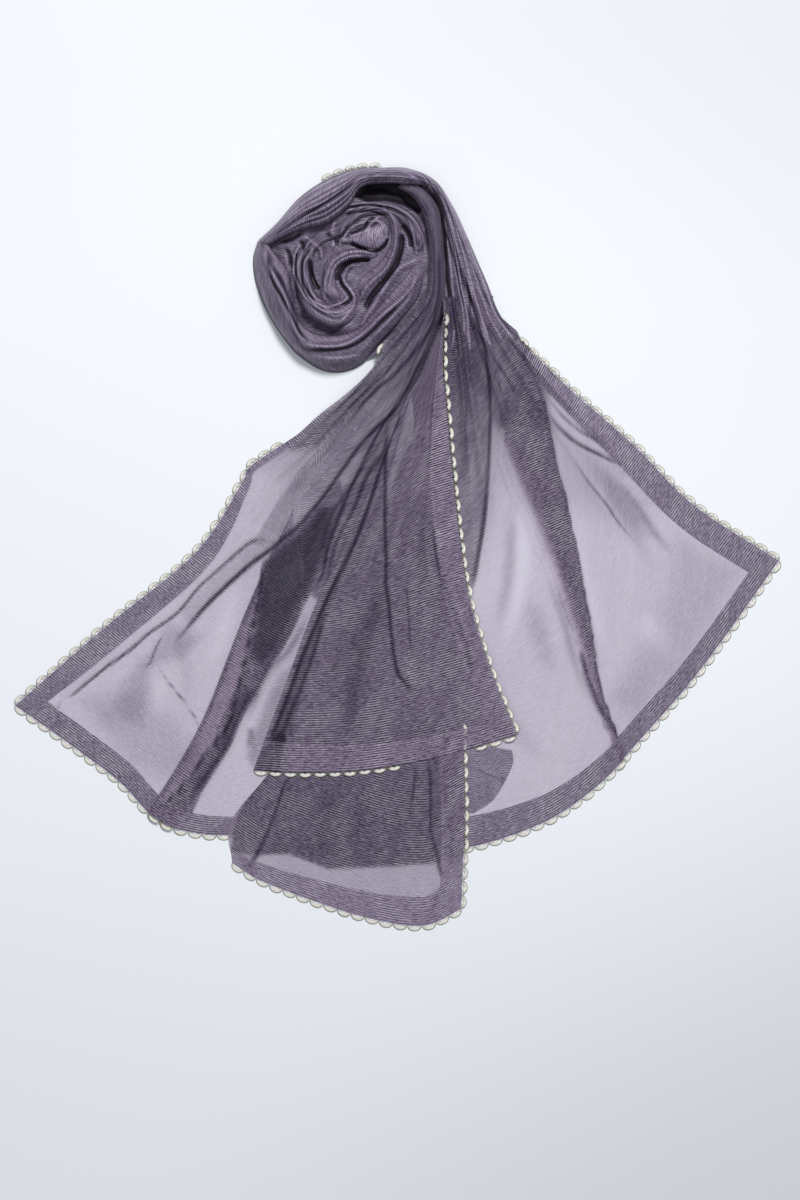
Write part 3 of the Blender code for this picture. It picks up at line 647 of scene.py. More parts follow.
def layer_tuck(run, tuck, x, down, plies):
    """down: how far down the stretch each row lies, from 0 to 1."""
    at = TUCK_AT if run.leans > 0 else TUCK_AT[::-1]
    under = run.tuck_column + np.flatnonzero((at > CRISP_EDGE) & (at < TUCK_END))
    back = np.abs(x - tuck.edge) / (tuck.depth + 1)
    plies[:, under] *= 1 - run.soft_tuck * smooth_step((back[:, under] - 0.2) / 0.8) * tuck.folded
    if run.tuck_fades is not None:
        low, high = run.tuck_fades
        plies[:, under] *= 1 - 0.8 * smooth_step((down - low) / (high - low))[:, None]
    doubled = (run.leans * (tuck.edge - x) > -0.5) & (back < 1)
    plies += run.tuck_plies * tuck.folded * doubled * (1 - smooth_step(back)) ** 0.7
    plies += run.tuck_line * tuck.folded * np.exp(-((x - tuck.edge) / 1.2) ** 2)
    run.crisp_column = run.tuck_column + int(np.argmin(np.abs(at - CRISP_EDGE)))
    run.base_column = run.tuck_column + int(np.argmin(np.abs(at - BASE_EDGE)))


def layer_zones(run, plan, plies):
    for patch in run.zones:
        plies += patch.plies * smooth_step(0.5 + depth_inside(plan, patch.corners) / patch.soft)


# %% [markdown]
# ### Heights
#
# Soft folds run out of the gathers and die away down the stretch. The crease stands on them, the middle
# arches over the two feet, and two slow waves keep any cloth from lying dead flat. Where one end of a
# stretch dives under another, it dips.

# %% Raise the folds and the crease
FADE_LENGTH = 0.35  # of the stretch, over which a fold dies away


def raise_folds(run, rows, along, width, x, z):
    ripple = np.maximum(through(run.sections.ripple, rows), 0)
    down = rows / (len(run.sections.ax) - 1)
    folds = run.folds
    for at, at_hem, height, soft, until in zip(folds.at, folds.at_hem, folds.height, folds.width, folds.until):
        middle = (at + (at_hem - at) * down) * width
        fall = 1 - smooth_step((along - until * along[-1]) / (FADE_LENGTH * along[-1]))
        d = (x - middle[:, None]) / (soft * width[:, None])
        z += height * (ripple * fall)[:, None] * np.exp(-d * d)


def raise_crease(run, line, strength, x, z, plies):
    c = run.crease
    d = x - line[:, None]
    z += c.height * strength[:, None] * np.exp(-(d / np.where(d < 0, *c.soft)) ** 2)
    strip = smooth_step(d / 0.7 + 0.5) * (1 - smooth_step((d - c.strip) / CREASE_FADE))
    plies += strength[:, None] * (c.plies * strip)


# %% Arch, unrest and dips
def arch(run, rows, share, z):
    s = run.sections
    feet = through(s.foot_a, rows)[:, None] * (1 - share) + through(s.foot_b, rows)[:, None] * share
    z += feet + through(s.crown, rows)[:, None] * (1 - np.abs(2 * np.clip(share, 0, 1) - 1) ** 2.6)


def unsettle(run, along, x, z):
    """Slow waves as deep as run.unrest."""
    down = along[:, None]
    z += run.unrest * (np.sin(x / 17 + down / 41 + run.turn) * np.sin(down / 29 - x / 53)
                       + 0.5 * np.sin(x / 7.3 - down / 61 + 2 * run.turn)
                       * np.sin(down / 37 + x / 31)) * smooth_step(along / 30)[:, None]


def dip(run, along, z):
    sinks = run.dips[0] * (1 - smooth_step(along / run.dive))
    sinks += run.dips[1] * (1 - smooth_step((along[-1] - along) / run.dive))
    z -= sinks[:, None]


# %% Loft a stretch
def loft(run):
    """The middle surface of a stretch, in mm, with its plies at each point: how many layers of cloth lie
    together there, raised or lowered where shade or light is painted.
    """
    rows, along = rows_of(run)
    _, width = plan_of(run, rows, np.zeros((len(rows), 1)))
    line, strength = (None, None) if run.crease is None else trace_crease(run, rows, width)
    tuck = None if run.tuck is None else tuck_of(run, rows, width)
    x, z = columns_of(run, rows, width, line, tuck)
    share = x / width[:, None]
    plan, _ = plan_of(run, rows, share)
    plies = plies_from_table(run, rows, share)
    if tuck is not None:
        layer_tuck(run, tuck, x, along / along[-1], plies)
    layer_zones(run, plan, plies)
    raise_folds(run, rows, along, width, x, z)
    if line is not None:
        raise_crease(run, line, strength, x, z, plies)
    arch(run, rows, share, z)
    unsettle(run, along, x, z)
    dip(run, along, z)
    steps = np.linalg.norm(np.diff(plan, axis=0), axis=2)
    from_end = np.vstack([np.cumsum(steps[::-1], axis=0)[::-1], np.zeros((1, steps.shape[1]))])
    return SimpleNamespace(grid=np.dstack([plan, np.maximum(z, 0) + run.rests_at]),
                           plies=np.maximum(plies, 0.05), along=along[-1] - from_end, across=x)


# %% [markdown]
# ### Pleats pressed along lines
#
# A long pleat is a ridge or a valley along a drawn line, higher than the soft folds and with a darker crisp
# edge, painted with extra plies: partly cloth doubled along the fold, partly painted shade. A wide, low pleat
# paints a soft streak of shade, or of light. It is pressed into the finished grid, so it can cross the rows
# and columns at any slant.

# %% Pleat lines pressed into a sheet
def pleat(points, height, soft=(1.6, 3.2), dark=0.0, crest=0.0, line=1.3, ends=0.15):
    """A pleat along a line. height: of its crest, below 0 for a valley. crest: how far the crest lies from the
    line, to its left, or to its right if negative. soft: widths of the slopes left and right of the crest.
    dark: plies added on the line itself, and line: how wide that dark line is. The dark line is partly cloth
    doubled along the fold and partly painted shade; below 0 it paints a lighter streak."""
    return SimpleNamespace(line=smooth_line(points, step=3.0), height=height, soft=soft, dark=dark,
                           crest=crest, width=line, ends=ends)


def line_reach(points, line):
    """Distance from each point to a line, above 0 on its left, and how far along it the nearest place is."""
    best = np.full(points.shape[:-1], 1e9)
    signed, at = best.copy(), np.zeros(best.shape)
    for k, (p, q) in enumerate(zip(line, line[1:])):
        along = q - p
        t = np.clip(((points - p) @ along) / (along @ along), 0, 1)
        away = points - p - t[..., None] * along
        reach = np.linalg.norm(away, axis=-1)
        side = along[0] * away[..., 1] - along[1] * away[..., 0]
        near = reach < best
        best = np.where(near, reach, best)
        signed = np.where(near, np.where(side > 0, reach, -reach), signed)
        at = np.where(near, (k + t) / (len(line) - 1), at)
    return signed, at


def press(cloth, pleats):
    """Presses the pleat lines into a piece of cloth, where they cross it."""
    for one in pleats:
        reach = 3 * max(one.soft) + abs(one.crest) + 4
        low, high = one.line.min(axis=0) - reach, one.line.max(axis=0) + reach
        near = np.all((cloth.grid[..., :2] > low) & (cloth.grid[..., :2] < high), axis=2)
        if not near.any():
            continue
        d, at = line_reach(cloth.grid[near][:, :2], one.line)
        fade = smooth_step(at / one.ends) * smooth_step((1 - at) / one.ends)
        slope = np.where(d > one.crest, one.soft[0], one.soft[1])
        cloth.grid[near, 2] += one.height * fade * np.exp(-((d - one.crest) / slope) ** 2)
        # the dark line: extra plies for cloth doubled along the fold, and painted shade; below 0 they paint a
        # lighter streak
        cloth.plies[near] += one.dark * fade * np.exp(-(d / one.width) ** 2)


# %% [markdown]
# ### Laying one sheet over another
#
# A square grid of cells keeps the highest point laid so far at each place, as a table top with cloth on it
# would. A new sheet is lifted wherever it would sink below that, and the lift is smoothed into slopes.

# %% What lies on the table already
CELL = 2.0
HALF_SIZE = 420.0
LAID = np.zeros((int(2 * HALF_SIZE / CELL),) * 2)
LACE_STANDS, LACE_REACHES = 1.0, (-3.0, 0.0, 2.0, 4.0, 6.0)
print("table of", LAID.shape, "cells")


def cells_of(grid):
    i = np.clip(((grid[..., 0] + HALF_SIZE) / CELL).astype(int), 0, LAID.shape[0] - 1)
    j = np.clip(((grid[..., 1] + HALF_SIZE) / CELL).astype(int), 0, LAID.shape[1] - 1)
    return i, j


def lay_down(cloth):
    """Marks the grid's points and the middles of its faces and edges."""
    grid = cloth.grid
    for points in (grid, (grid[1:] + grid[:-1]) / 2, (grid[:, 1:] + grid[:, :-1]) / 2,
                   (grid[1:, 1:] + grid[:-1, :-1]) / 2):
        np.maximum.at(LAID, cells_of(points), points[..., 2])


def lay_down_edge(cloth):
    """The lace beyond a hem is thicker than the cloth, and what lies on it is lifted too."""
    edge = cloth.grid[-1]
    out = (edge - cloth.grid[-2])[:, :2]
    out /= np.linalg.norm(out, axis=1, keepdims=True) + 1e-9
    for reach in LACE_REACHES:
        points = edge.copy()
        points[:, :2] += out * reach
        points[:, 2] += LACE_STANDS
        np.maximum.at(LAID, cells_of(points), points[:, 2])


# %% Lift a sheet over it
SHEET_GAP = 0.35  # from the middle of one layer to the middle of the next


def over_window(measure, field, reach):
    """The mean or the greatest value in a square window round each point."""
    for axis in (0, 1):
        pad = [(reach, reach) if k == axis else (0, 0) for k in (0, 1)]
        padded = np.pad(field, pad, mode="edge")
        size = field.shape[axis]
        field = measure([np.take(padded, range(k, k + size), axis) for k in range(2 * reach + 1)], axis=0)
    return field


def lay_on_others(cloth):
    """Lifts the cloth over what lies there already, in smooth slopes."""
    top = over_window(np.max, LAID, 1)[cells_of(cloth.grid)]
    lack = np.where(top > 0, top + SHEET_GAP, 0) - cloth.grid[..., 2]
    cloth.grid[..., 2] += over_window(np.mean, over_window(np.max, np.maximum(lack, 0), 2), 2)


# %% [markdown]
# ### A cloth mesh
#
# The points become a mesh of four-sided faces. Each point also gets its place on the cloth as a UV, so that
# the weave follows the folds, and its number of plies.

# %% Which way the faces look
def looks_up(grid):
    """Above 0 where the faces of the grid, row by row, look up."""
    one = grid[1:, :-1] - grid[:-1, :-1]
    two = grid[:-1, 1:] - grid[:-1, :-1]
    return np.cross(one, two)[..., 2].mean()


def normals_of(grid):
    diagonal = grid[1:, 1:] - grid[:-1, :-1]
    other = grid[1:, :-1] - grid[:-1, 1:]
    faces = np.cross(other, diagonal)
    faces /= np.linalg.norm(faces, axis=2, keepdims=True) + 1e-12
    normal = np.zeros(grid.shape)
    for rows in (slice(0, -1), slice(1, None)):
        for columns in (slice(0, -1), slice(1, None)):
            normal[rows, columns] += faces
    normal /= np.linalg.norm(normal, axis=2, keepdims=True) + 1e-12
    return normal * np.where(normal[:, :, 2:3] < 0, -1.0, 1.0)


# %% Make a sheet of cloth
def cloth_mesh(name, cloth, finish):
    grid = cloth.grid
    index = np.arange(grid.shape[0] * grid.shape[1]).reshape(grid.shape[:2])
    corners = [index[:-1, :-1], index[1:, :-1], index[1:, 1:], index[:-1, 1:]]
    faces = np.stack(corners[::-1] if looks_up(grid) < 0 else corners, axis=-1).reshape(-1, 4)
    mesh = bpy.data.meshes.new(name)
    mesh.from_pydata((grid.reshape(-1, 3) * MM).tolist(), [], faces.tolist())
    place = np.dstack([cloth.across, cloth.along]) * MM
    layer = mesh.uv_layers.new(name="cloth")
    layer.data.foreach_set("uv", place.reshape(-1, 2)[faces.ravel()].ravel().astype(np.float32))
    attribute = mesh.attributes.new("plies", "FLOAT", "POINT")
    attribute.data.foreach_set("value", cloth.plies.ravel().astype(np.float32))
    mesh.materials.append(finish)
    mesh.shade_smooth()
    piece = bpy.data.objects.new(name, mesh)
    bpy.context.scene.collection.objects.link(piece)
    return piece


def add_cloth(name, cloth, finish, slot, *nodes):
    piece = cloth_mesh(name, cloth, finish)
    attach(piece, BODY)
    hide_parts(*nodes)
    print(name, cloth.grid.shape[:2], "points")
    return piece


# %% Lay a stretch on the table
def lay(name, run, pleats, slot, edge_too=False):
    """Lofts a stretch, presses it, lifts it over what lies there already and makes it a sheet. edge_too: what
    is laid later is lifted over its lace as well."""
    cloth = loft(run)
    press(cloth, pleats)
    lay_on_others(cloth)
    lay_down(cloth)
    if edge_too:
        lay_down_edge(cloth)
    return cloth, add_cloth(name + "_cloth", cloth, CLOTH, slot, name)

# %% [markdown]
# ## The two wings
#
# The wings lie on the table first. Each leaves the rosette as a narrow gathered strand and opens into a
# fan. Soft pleats run out of the gathers and die away, and one deep pleat lies folded right down to the hem.
#
# Under everything lies a narrow stack of hidden layers. It can't be seen, so it is one plain strip that
# holds the rest up and darkens it.

# %% The hidden layers, folded up under everything else
HIDDEN_LAYERS = table(
    SECTION,
    (28, 236, 56, 236, 0, 0, 0, 0),
    (12, 190, 52, 190, 0, 0, 0, 0),
    (18, 120, 33, 108, 0, 0, 0, 0),
    (1, 79, 27, 70, 0, 0, 0.5, 0),
    (-19, 9, 11, 9, 0, 0, 0.8, 0),
    (-35, -76, -6, -76, 0, 0, 0.8, 0),
    (-50, -186, -31, -186, 0, 0, 0.5, 0),
    (-60, -262, -50, -262, 0, 0, 0, 0),
)

hidden = loft(run_of(HIDDEN_LAYERS, plies=(7, 7, 6, 4.5, 3, 2, 2, 1), turn=0.4))
lay_down(hidden)
hidden_piece = add_cloth("hidden_folds_cloth", hidden, CLOTH, "deep_cloth", "hidden_layers")

# %% [markdown]
# ### The left wing
#
# Its strand comes over the rosette's right side, turns under the front panel and fans out to the lower left.
# The table of plies is high in the strand and falls to one along the fan. The pleat lines are drawn one by
# one, because on the real cloth no two are alike, and the zones tell where they leave more cloth behind, and
# some paint soft patches of shade.

# %% Sections, end hem and tuck of the left wing
LEFT_WING = table(
    SECTION,
    (2, 360, 10, 369, 12, 11, 4, 0.4),
    (17, 350, 29, 357, 15, 14, 8, 0.8),
    (27, 334, 42, 339, 15, 14, 9, 1),
    (32, 312, 46, 315, 15, 14, 10, 1.2),
    (33, 288, 48, 288, 15, 13, 10, 1.2),
    (31, 262, 49, 262, 15, 13, 10, 1.4),
    (24, 244, 47, 240, 15, 12, 11, 1.8),
    (10, 226, 40, 219, 15, 10, 11, 2.4),
    (-10, 204, 32, 197, 14, 8, 10, 3),
    (-24, 180, 22, 174, 10, 5, 9, 3.4),
    (-51, 154, 11, 139, 5, 2, 6, 4),
    (-98, 120, -5, 79, 0, 0, 2, 4.5),
    (-138, 94, -18, 27, 0, 0, 0, 4.2),
    (-153, 82, -22, 9, 0, 0, 0, 4),
    (-160, 66, -25, -5, 0, 0, 0, 3.8),
    (-206, -3, -38, -76, 0, 0, 0, 3),
    (-297, -79, -53, -186, 0, 0, 0, 1.6),
    (-388, -159, -66, -289, 0, 0, 0, 0.4),
)

LEFT_WING_HEM = (
    (-388, -159), (-330, -200), (-282, -236), (-246, -272), (-205, -288), (-140, -290), (-66, -289),
)

LEFT_WING_TUCK = table(
    "edge depth folded",
    *[(0.56, 4, 0)] * 8, (0.54, 8, 0), (0.52, 12, 0), (0.48, 14, 0), (0.44, 20, 0), (0.42, 20, 0),
    (0.40, 24, 0), (0.40, 26, 0.1), (0.40, 44, 1), (0.485, 30, 1), (0.48, 26, 1),
)

# %% Folds, plies and hem widths of the left wing
LEFT_WING_FOLDS = table(
    FOLD,
    (0.12, 0.05, 0.8, 0.05, 0.5), (0.25, 0.16, 1, 0.04, 0.6), (0.38, 0.28, 0.8, 0.035, 0.55),
    (0.66, 0.62, 0.9, 0.05, 0.6), (0.78, 0.76, 1, 0.04, 0.5), (0.90, 0.90, 0.8, 0.04, 0.4),
)
LEFT_WING_PLIES = (*[(4.6, 5)] * 7, (4.0, 4.8), (3.0, 4.2), (2.4, 3.4), (2.0, 3.0), (1.6, 2.7), (1.2, 2.6),
                   (1, 2.2), (1, 2), (1, 1.4), (1, 1), (1, 1))
LEFT_WING_HEM_WIDTHS = (*[7] * 14, 9, 18, 22, 17)
print("left wing:", len(LEFT_WING_PLIES), "sections")

# %% Pleats of the left wing
LEFT_WING_PLEATS = (
    pleat([(-152, -20), (-166, -60), (-180, -100), (-190, -130)], 1, (9, 9), dark=-0.2, line=9, ends=0.4),
    pleat([(-206, -60), (-212, -96), (-208, -130), (-214, -164)], 1, (9, 9), dark=0.2, line=8, ends=0.4),
    pleat([(-236, -120), (-238, -150), (-236, -180)], 0.8, (8, 8), dark=-0.25, line=8, ends=0.45),
    pleat([(-300, -140), (-290, -164), (-268, -190)], 0.8, (8, 8), dark=0.15, line=8, ends=0.45),
    pleat([(43, 219), (24, 185), (13, 164), (1, 141), (-16, 124), (-36, 103), (-54, 78), (-71, 54),
           (-84, 38), (-97, 23), (-111, 11), (-126, -1), (-144, -14), (-158, -26), (-176, -43), (-192, -59),
           (-204, -73), (-218, -90), (-226, -97)], 4.4, (3, 8), dark=7, crest=-4, line=1.4, ends=0.16),
    pleat([(4, 149), (-20, 112), (-40, 72), (-56, 36), (-68, 2), (-74, -26), (-88, -46)], 1.8, (3, 2.4),
          dark=6, crest=3, line=1.5, ends=0.08),
    pleat([(-120, 4), (-140, 9), (-158, -3), (-176, -19), (-196, -37), (-216, -61), (-228, -71),
           (-248, -85), (-266, -101), (-280, -111), (-296, -123), (-316, -139), (-326, -147), (-334, -149)],
          2.6, (4, 7), dark=3.2, crest=-5, line=1.1, ends=0.1),
    pleat([(-334, -150), (-338, -158), (-337, -168), (-335, -178)], 1.2, (3, 3), dark=0.6, crest=-1.5),
    pleat([(-230, -82), (-238, -95), (-246, -113), (-254, -121)], 1.4, (3, 3), dark=2.2, crest=2.5,
          line=1, ends=0.45),
    pleat([(-242, -111), (-232, -127), (-216, -147), (-204, -163), (-198, -175), (-193, -190)], 0.9,
          (2.5, 2.5), dark=1.5, crest=-2, line=0.8, ends=0.4),
    pleat([(-134, -17), (-135, -38), (-141, -66), (-148, -98), (-154, -126), (-160, -147), (-167, -175),
           (-183, -196), (-211, -234), (-235, -259)], 1.6, (3, 2), dark=7, crest=2, line=1.1, ends=0.05),
    pleat([(-95, -52), (-106, -80), (-127, -115), (-141, -140), (-158, -168), (-169, -196), (-190, -227),
           (-204, -248)], 1.6, (2.5, 3), dark=3, crest=-2, line=1.4, ends=0.12),
    pleat([(-84, -58), (-106, -100), (-130, -122), (-140, -148), (-150, -175)], 1.8, (3.5, 4), dark=0.9,
          crest=3.5, line=3, ends=0.3),
    pleat([(-8, 127), (-12, 99), (-30, 70), (-42, 40), (-58, 10), (-66, -15), (-70, -40)], 1.8, (4, 3),
          dark=5, crest=4, line=2),
    pleat([(-14, 110), (-30, 86), (-50, 56), (-66, 30), (-74, 0)], 1.4, (3, 3), dark=4, crest=3,
          line=1.6),
    pleat([(20, 356), (30, 336), (34, 318), (37, 300), (38, 262), (34, 246), (22, 230), (6, 212),
           (-14, 188), (-40, 158), (-72, 126)], 2, (3.5, 2), dark=3, crest=-3, line=1.4),
    pleat([(42, 300), (43, 262), (40, 240), (32, 214), (2, 177), (-20, 158), (-44, 134)], 2, (3, 2.5),
          dark=5, crest=-3, line=1.8, ends=0.1),
    pleat([(36, 250), (28, 228), (12, 204), (-6, 180), (-30, 156), (-56, 134)], 1.6, (3, 2), dark=3,
          crest=-3),
)
print(len(LEFT_WING_PLEATS), "pleats on the left wing")

# %% Zones of the left wing
LEFT_WING_ZONES = (
    zone([(-14, 178), (-40, 164), (-65, 146), (-100, 124), (-122, 108), (-98, 99), (-78, 104), (-56, 128),
          (-24, 157)], 1.5, 9),
    zone([(-62, 122), (-70, 109), (-96, 79), (-116, 51), (-142, 9), (-120, 2), (-97, 22), (-71, 52),
          (-36, 101), (-18, 129), (-40, 150)], 0.55, 2.5),
    zone([(-142, 10), (-158, -3), (-188, -34), (-216, -61), (-204, -77), (-176, -45), (-146, -19),
          (-120, 4)], 0.35, 8),
    zone([(-134, -17), (-123, -4), (-97, 20), (-71, 50), (-56, 70), (-50, 40), (-68, -3), (-86, -44),
          (-93, -54), (-104, -80), (-124, -115), (-138, -140), (-155, -168), (-166, -196), (-187, -227),
          (-205, -266), (-240, -262), (-211, -234), (-183, -196), (-167, -175), (-160, -147), (-154, -126),
          (-148, -98), (-141, -66), (-135, -38)], 2, 2.5),
    zone([(-130, -14), (-120, -4), (-95, 17), (-74, 42), (-62, 40), (-72, -3), (-88, -42), (-100, -62),
          (-116, -94), (-134, -116), (-144, -110), (-138, -66), (-134, -38)], 6, 12),
    zone([(-160, -147), (-150, -140), (-139, -140), (-156, -168), (-168, -196), (-186, -226), (-206, -252),
          (-200, -232), (-180, -205), (-176, -180)], 4, 9),
    zone([(-114, -125), (-126, -143), (-135, -167), (-145, -191), (-148, -209), (-142, -218), (-126, -188),
          (-111, -152), (-98, -112)], 0.7, 12),
    zone([(-316, -151), (-246, -131), (-196, -211), (-206, -241), (-266, -211)], 0.3, 30),
    zone([(-148, -180), (-142, -180), (-143, -196), (-149, -198)], 0.8, 7),
    zone([(-52, 61), (-12, 94), (-8, 68), (-44, -14), (-73, -53), (-84, -46), (-69, 4)], 1.6, 6),
    zone([(-244, -104), (-248, -132), (-253, -176), (-266, -176), (-284, -160), (-273, -135), (-259, -114)],
         0.34, 14),
    zone([(-228, -74), (-196, -88), (-214, -108), (-250, -118)], 0.4, 16),
)
print(len(LEFT_WING_ZONES), "zones on the left wing")

# %% Lay the left wing down
left_wing_run = run_of(LEFT_WING, LEFT_WING_FOLDS, hem=LEFT_WING_HEM, hem_side="a", lace_from=8, end_hem=20.0,
                       hem_from=11.2, no_side_lace=(-112, -20), hem_width=LEFT_WING_HEM_WIDTHS,
                       tuck=LEFT_WING_TUCK, leans=-1, soft_tuck=0.4, tuck_plies=0.5, zones=LEFT_WING_ZONES,
                       plies=LEFT_WING_PLIES, row_step=FINE_STEP, column_step=FINE_STEP)
left_wing, left_wing_piece = lay("left_wing", left_wing_run, LEFT_WING_PLEATS, "wing_cloth", edge_too=True)

# %% [markdown]
# ### The right wing
#
# It is the wider fan. Its neck dives under the shoulder of the rosette, and a tuck runs the whole way down
# from there to the hem. The broad, shallow streaks of light and shade on it are too low to cast a shadow, so
# their light and shade is mostly painted, as changes in the number of plies.

# %% Sections, end hem and tuck of the right wing
RIGHT_WING = table(
    SECTION,
    (46, 250, 93, 253, 10, 0, 14, 3.4),
    (47, 232, 101.5, 235, 8, 0, 13, 3.6),
    (46, 208, 122, 215, 5, 0, 10, 4),
    (44, 184, 139, 199, 3, 0, 8, 4.5),
    (36, 119, 184, 156, 0, 0, 3, 4.5),
    (19, 29, 244, 102, 0, 0, 0, 3.8),
    (-6, -91, 304, 41, 0, 0, 0, 2.4),
    (-51, -293, 388, -14, 0, 0, 0, 0.4),
)

RIGHT_WING_HEM = (
    (-51, -293), (4, -309), (74, -303), (149, -278), (204, -241), (244, -198), (309, -123), (388, -14),
)

RIGHT_WING_TUCK = table(
    "depth folded",
    (8, 0), (14, 0.1), (8, 0), (24, 0.6), (50, 1), (36, 1), (18, 1), (6, 1),
)
RIGHT_WING_FOLD_LINE = (
    (103, 240), (128, 192), (145, 155), (154, 109), (160, 81), (168, 53), (174, 25), (180, -3), (186, -35),
    (192, -63), (196, -91), (203, -131), (213, -165), (222, -189), (232, -222),
)

# %% Folds, plies and hem widths of the right wing
RIGHT_WING_FOLDS = table(
    FOLD,
    (0.08, 0.06, 1, 0.03, 0.3), (0.24, 0.20, 0.7, 0.022, 0.4), (0.30, 0.26, 1.1, 0.03, 0.5),
    (0.52, 0.46, 0.8, 0.025, 0.4), (0.57, 0.52, 1, 0.03, 0.5), (0.75, 0.74, 0.6, 0.02, 0.3),
    (0.90, 0.92, 0.9, 0.03, 0.35),
)
RIGHT_WING_PLIES = ((4.8, 4.8), (4.6, 4.2), (4.2, 3.2), (3.8, 2.4), (2.2, 1), (1, 1), (1, 1), (1, 1))
RIGHT_WING_HEM_WIDTHS = (6, 8, 10, 12, 20, 24, 24, 24)
print("right wing:", len(RIGHT_WING_PLIES), "sections")

# %% Pleats of the right wing's neck
NECK_PLEATS = (
    pleat([(36, 369), (51, 324), (66, 273), (79, 238), (84, 219), (89, 196), (93, 164), (94, 132), (92, 81),
           (89, 40), (85, 12), (76, -41)], 2.4, (4, 2.6), dark=5, crest=3, line=1.6, ends=0.06),
    pleat([(57, 262), (58, 232), (61, 205), (66, 180), (70, 150), (69, 120), (72, 80)], 1.8, (2.2, 3),
          dark=2.6, crest=-2.6, line=1.8),
    pleat([(72, 279), (90, 249), (106, 222), (122, 196), (140, 172), (160, 150)], 1.6, (2.4, 3), dark=3,
          crest=-2.6, line=1.5),
    pleat([(62, 262), (76, 226), (96, 192), (112, 168), (124, 146)], 1.5, (2.4, 3), dark=2.6, crest=2.6),
    pleat([(88, 262), (104, 232), (124, 208), (148, 184), (170, 164)], 1.2, (2.4, 2.4), dark=2,
          crest=2.4),
)
print(len(NECK_PLEATS), "pleats on the neck")

# %% Pleats of the right wing's fan
RIGHT_WING_PLEATS = (
    pleat([(184, -99), (188, -115), (194, -135), (204, -159), (214, -175), (222, -189)], 2, (3.5, 3),
          dark=4, crest=4, line=1.3),
    pleat([(146, 145), (160, 125), (174, 111), (186, 103), (198, 97), (214, 89), (232, 81)], 2.2, (3, 2.4),
          dark=3, crest=3.5, line=1.3, ends=0.35),
    pleat([(148, 158), (164, 136), (184, 118), (206, 106), (220, 98)], 1.4, (3, 2.4), dark=1.2, crest=3,
          ends=0.4),
    pleat([(172, 99), (182, 83), (194, 65), (210, 45), (222, 27), (234, 13), (244, 3)], 1.3, (2.2, 2.2),
          dark=1.2, crest=2, line=1, ends=0.4),
    pleat([(214, 74), (230, 57), (246, 35), (262, 12), (282, -12)], 2, (6, 4), dark=0.45, crest=4, line=4,
          ends=0.35),
    pleat([(186, 96), (206, 76), (224, 52), (240, 28), (258, 2)], 1.6, (6, 6), dark=0.3, crest=5, line=9,
          ends=0.35),
    pleat([(116, 61), (116, 21), (114, -3), (112, -31), (106, -61), (96, -91)], -2, (6, 6), dark=0.45,
          line=6, ends=0.35),
    pleat([(124, 29), (125, -10), (122, -60), (114, -100)], 2, (5, 5), ends=0.35),
    pleat([(150, -20), (166, -60), (176, -100), (190, -136), (206, -170)], 1.6, (9, 5), dark=0.5, line=5,
          ends=0.3),
    pleat([(84, -100), (104, -150), (130, -190), (160, -224)], 1.4, (10, 10), dark=0.2, line=9, ends=0.35),
    pleat([(128, -112), (150, -96), (174, -80)], 0.5, (2, 2), dark=-0.15, line=1.5),
    pleat([(97, 77), (118, 35), (127, -7), (118, -61), (100, -121)], 1, (9, 9), dark=-0.28, line=8,
          ends=0.4),
    pleat([(174, -91), (192, -139), (206, -175)], 1, (5, 5), dark=-0.26, line=6, ends=0.4),
    pleat([(168, 52), (188, -31), (216, -121)], 0.8, (9, 9), dark=-0.2, line=8, ends=0.4),
    pleat([(133, -40), (145, -91), (160, -133)], -1, (9, 9), dark=0.35, line=10, ends=0.4),
    pleat([(202, 83), (223, 41), (244, 5), (262, -31)], 1, (8, 8), dark=0.22, line=7, ends=0.4),
    pleat([(236, -60), (262, -90), (280, -120)], 1, (10, 10), dark=-0.2, line=12, ends=0.45),
)
print(len(RIGHT_WING_PLEATS), "pleats on the fan")

# %% Zones of the right wing
RIGHT_WING_ZONES = (
    zone([(149, 129), (204, 109), (254, 49), (244, 19), (204, 29), (174, 49)], 0.34, 44),
    zone([(284, 9), (344, -21), (294, -111), (244, -171), (214, -151), (264, -81)], 0.35, 36),
    zone([(50, 249), (104, 239), (149, 154), (152, 119), (102, 122), (93, 149), (74, 169)], 1.6, 14),
    zone([(36, 236), (60, 234), (93, 160), (93, 109), (92, 59), (88, 19), (82, -11), (76, -41), (40, -41)],
         1.4, 3),
    zone([(98, 135), (108, 116), (122, 84), (136, 53), (148, 24), (158, -2), (168, -30), (178, -60),
          (190, -92), (200, -118), (196, -92), (186, -36), (178, 0), (168, 50), (160, 80), (154, 108),
          (146, 150), (126, 160)], 1.2, 13),
)
print(len(RIGHT_WING_ZONES), "zones on the right wing")

# %% Lay the right wing down
right_wing_run = run_of(RIGHT_WING, RIGHT_WING_FOLDS, hem=RIGHT_WING_HEM, hem_side="b", lace_from=0.6,
                        hem_width=RIGHT_WING_HEM_WIDTHS, tuck=RIGHT_WING_TUCK, fold_line=RIGHT_WING_FOLD_LINE,
                        soft_tuck=1.0, tuck_plies=1.0, tuck_fades=(0.55, 0.78), zones=RIGHT_WING_ZONES,
                        bow_from=3, turn=1.3, plies=RIGHT_WING_PLIES, row_step=FINE_STEP,
                        column_step=FINE_STEP, dips=(3.5, 0.0), dive=34.0)
right_wing, right_wing_piece = lay("right_wing", right_wing_run, NECK_PLEATS + RIGHT_WING_PLEATS,
                                   "wing_cloth", edge_too=True)

# %% [markdown]
# ## The layers between, and the two panels in front
#
# One narrow double fold peeks out beside the lower panel. The lower panel lies on it and on the wings, and
# the front panel lies on top, doubled along a fold at its left side.

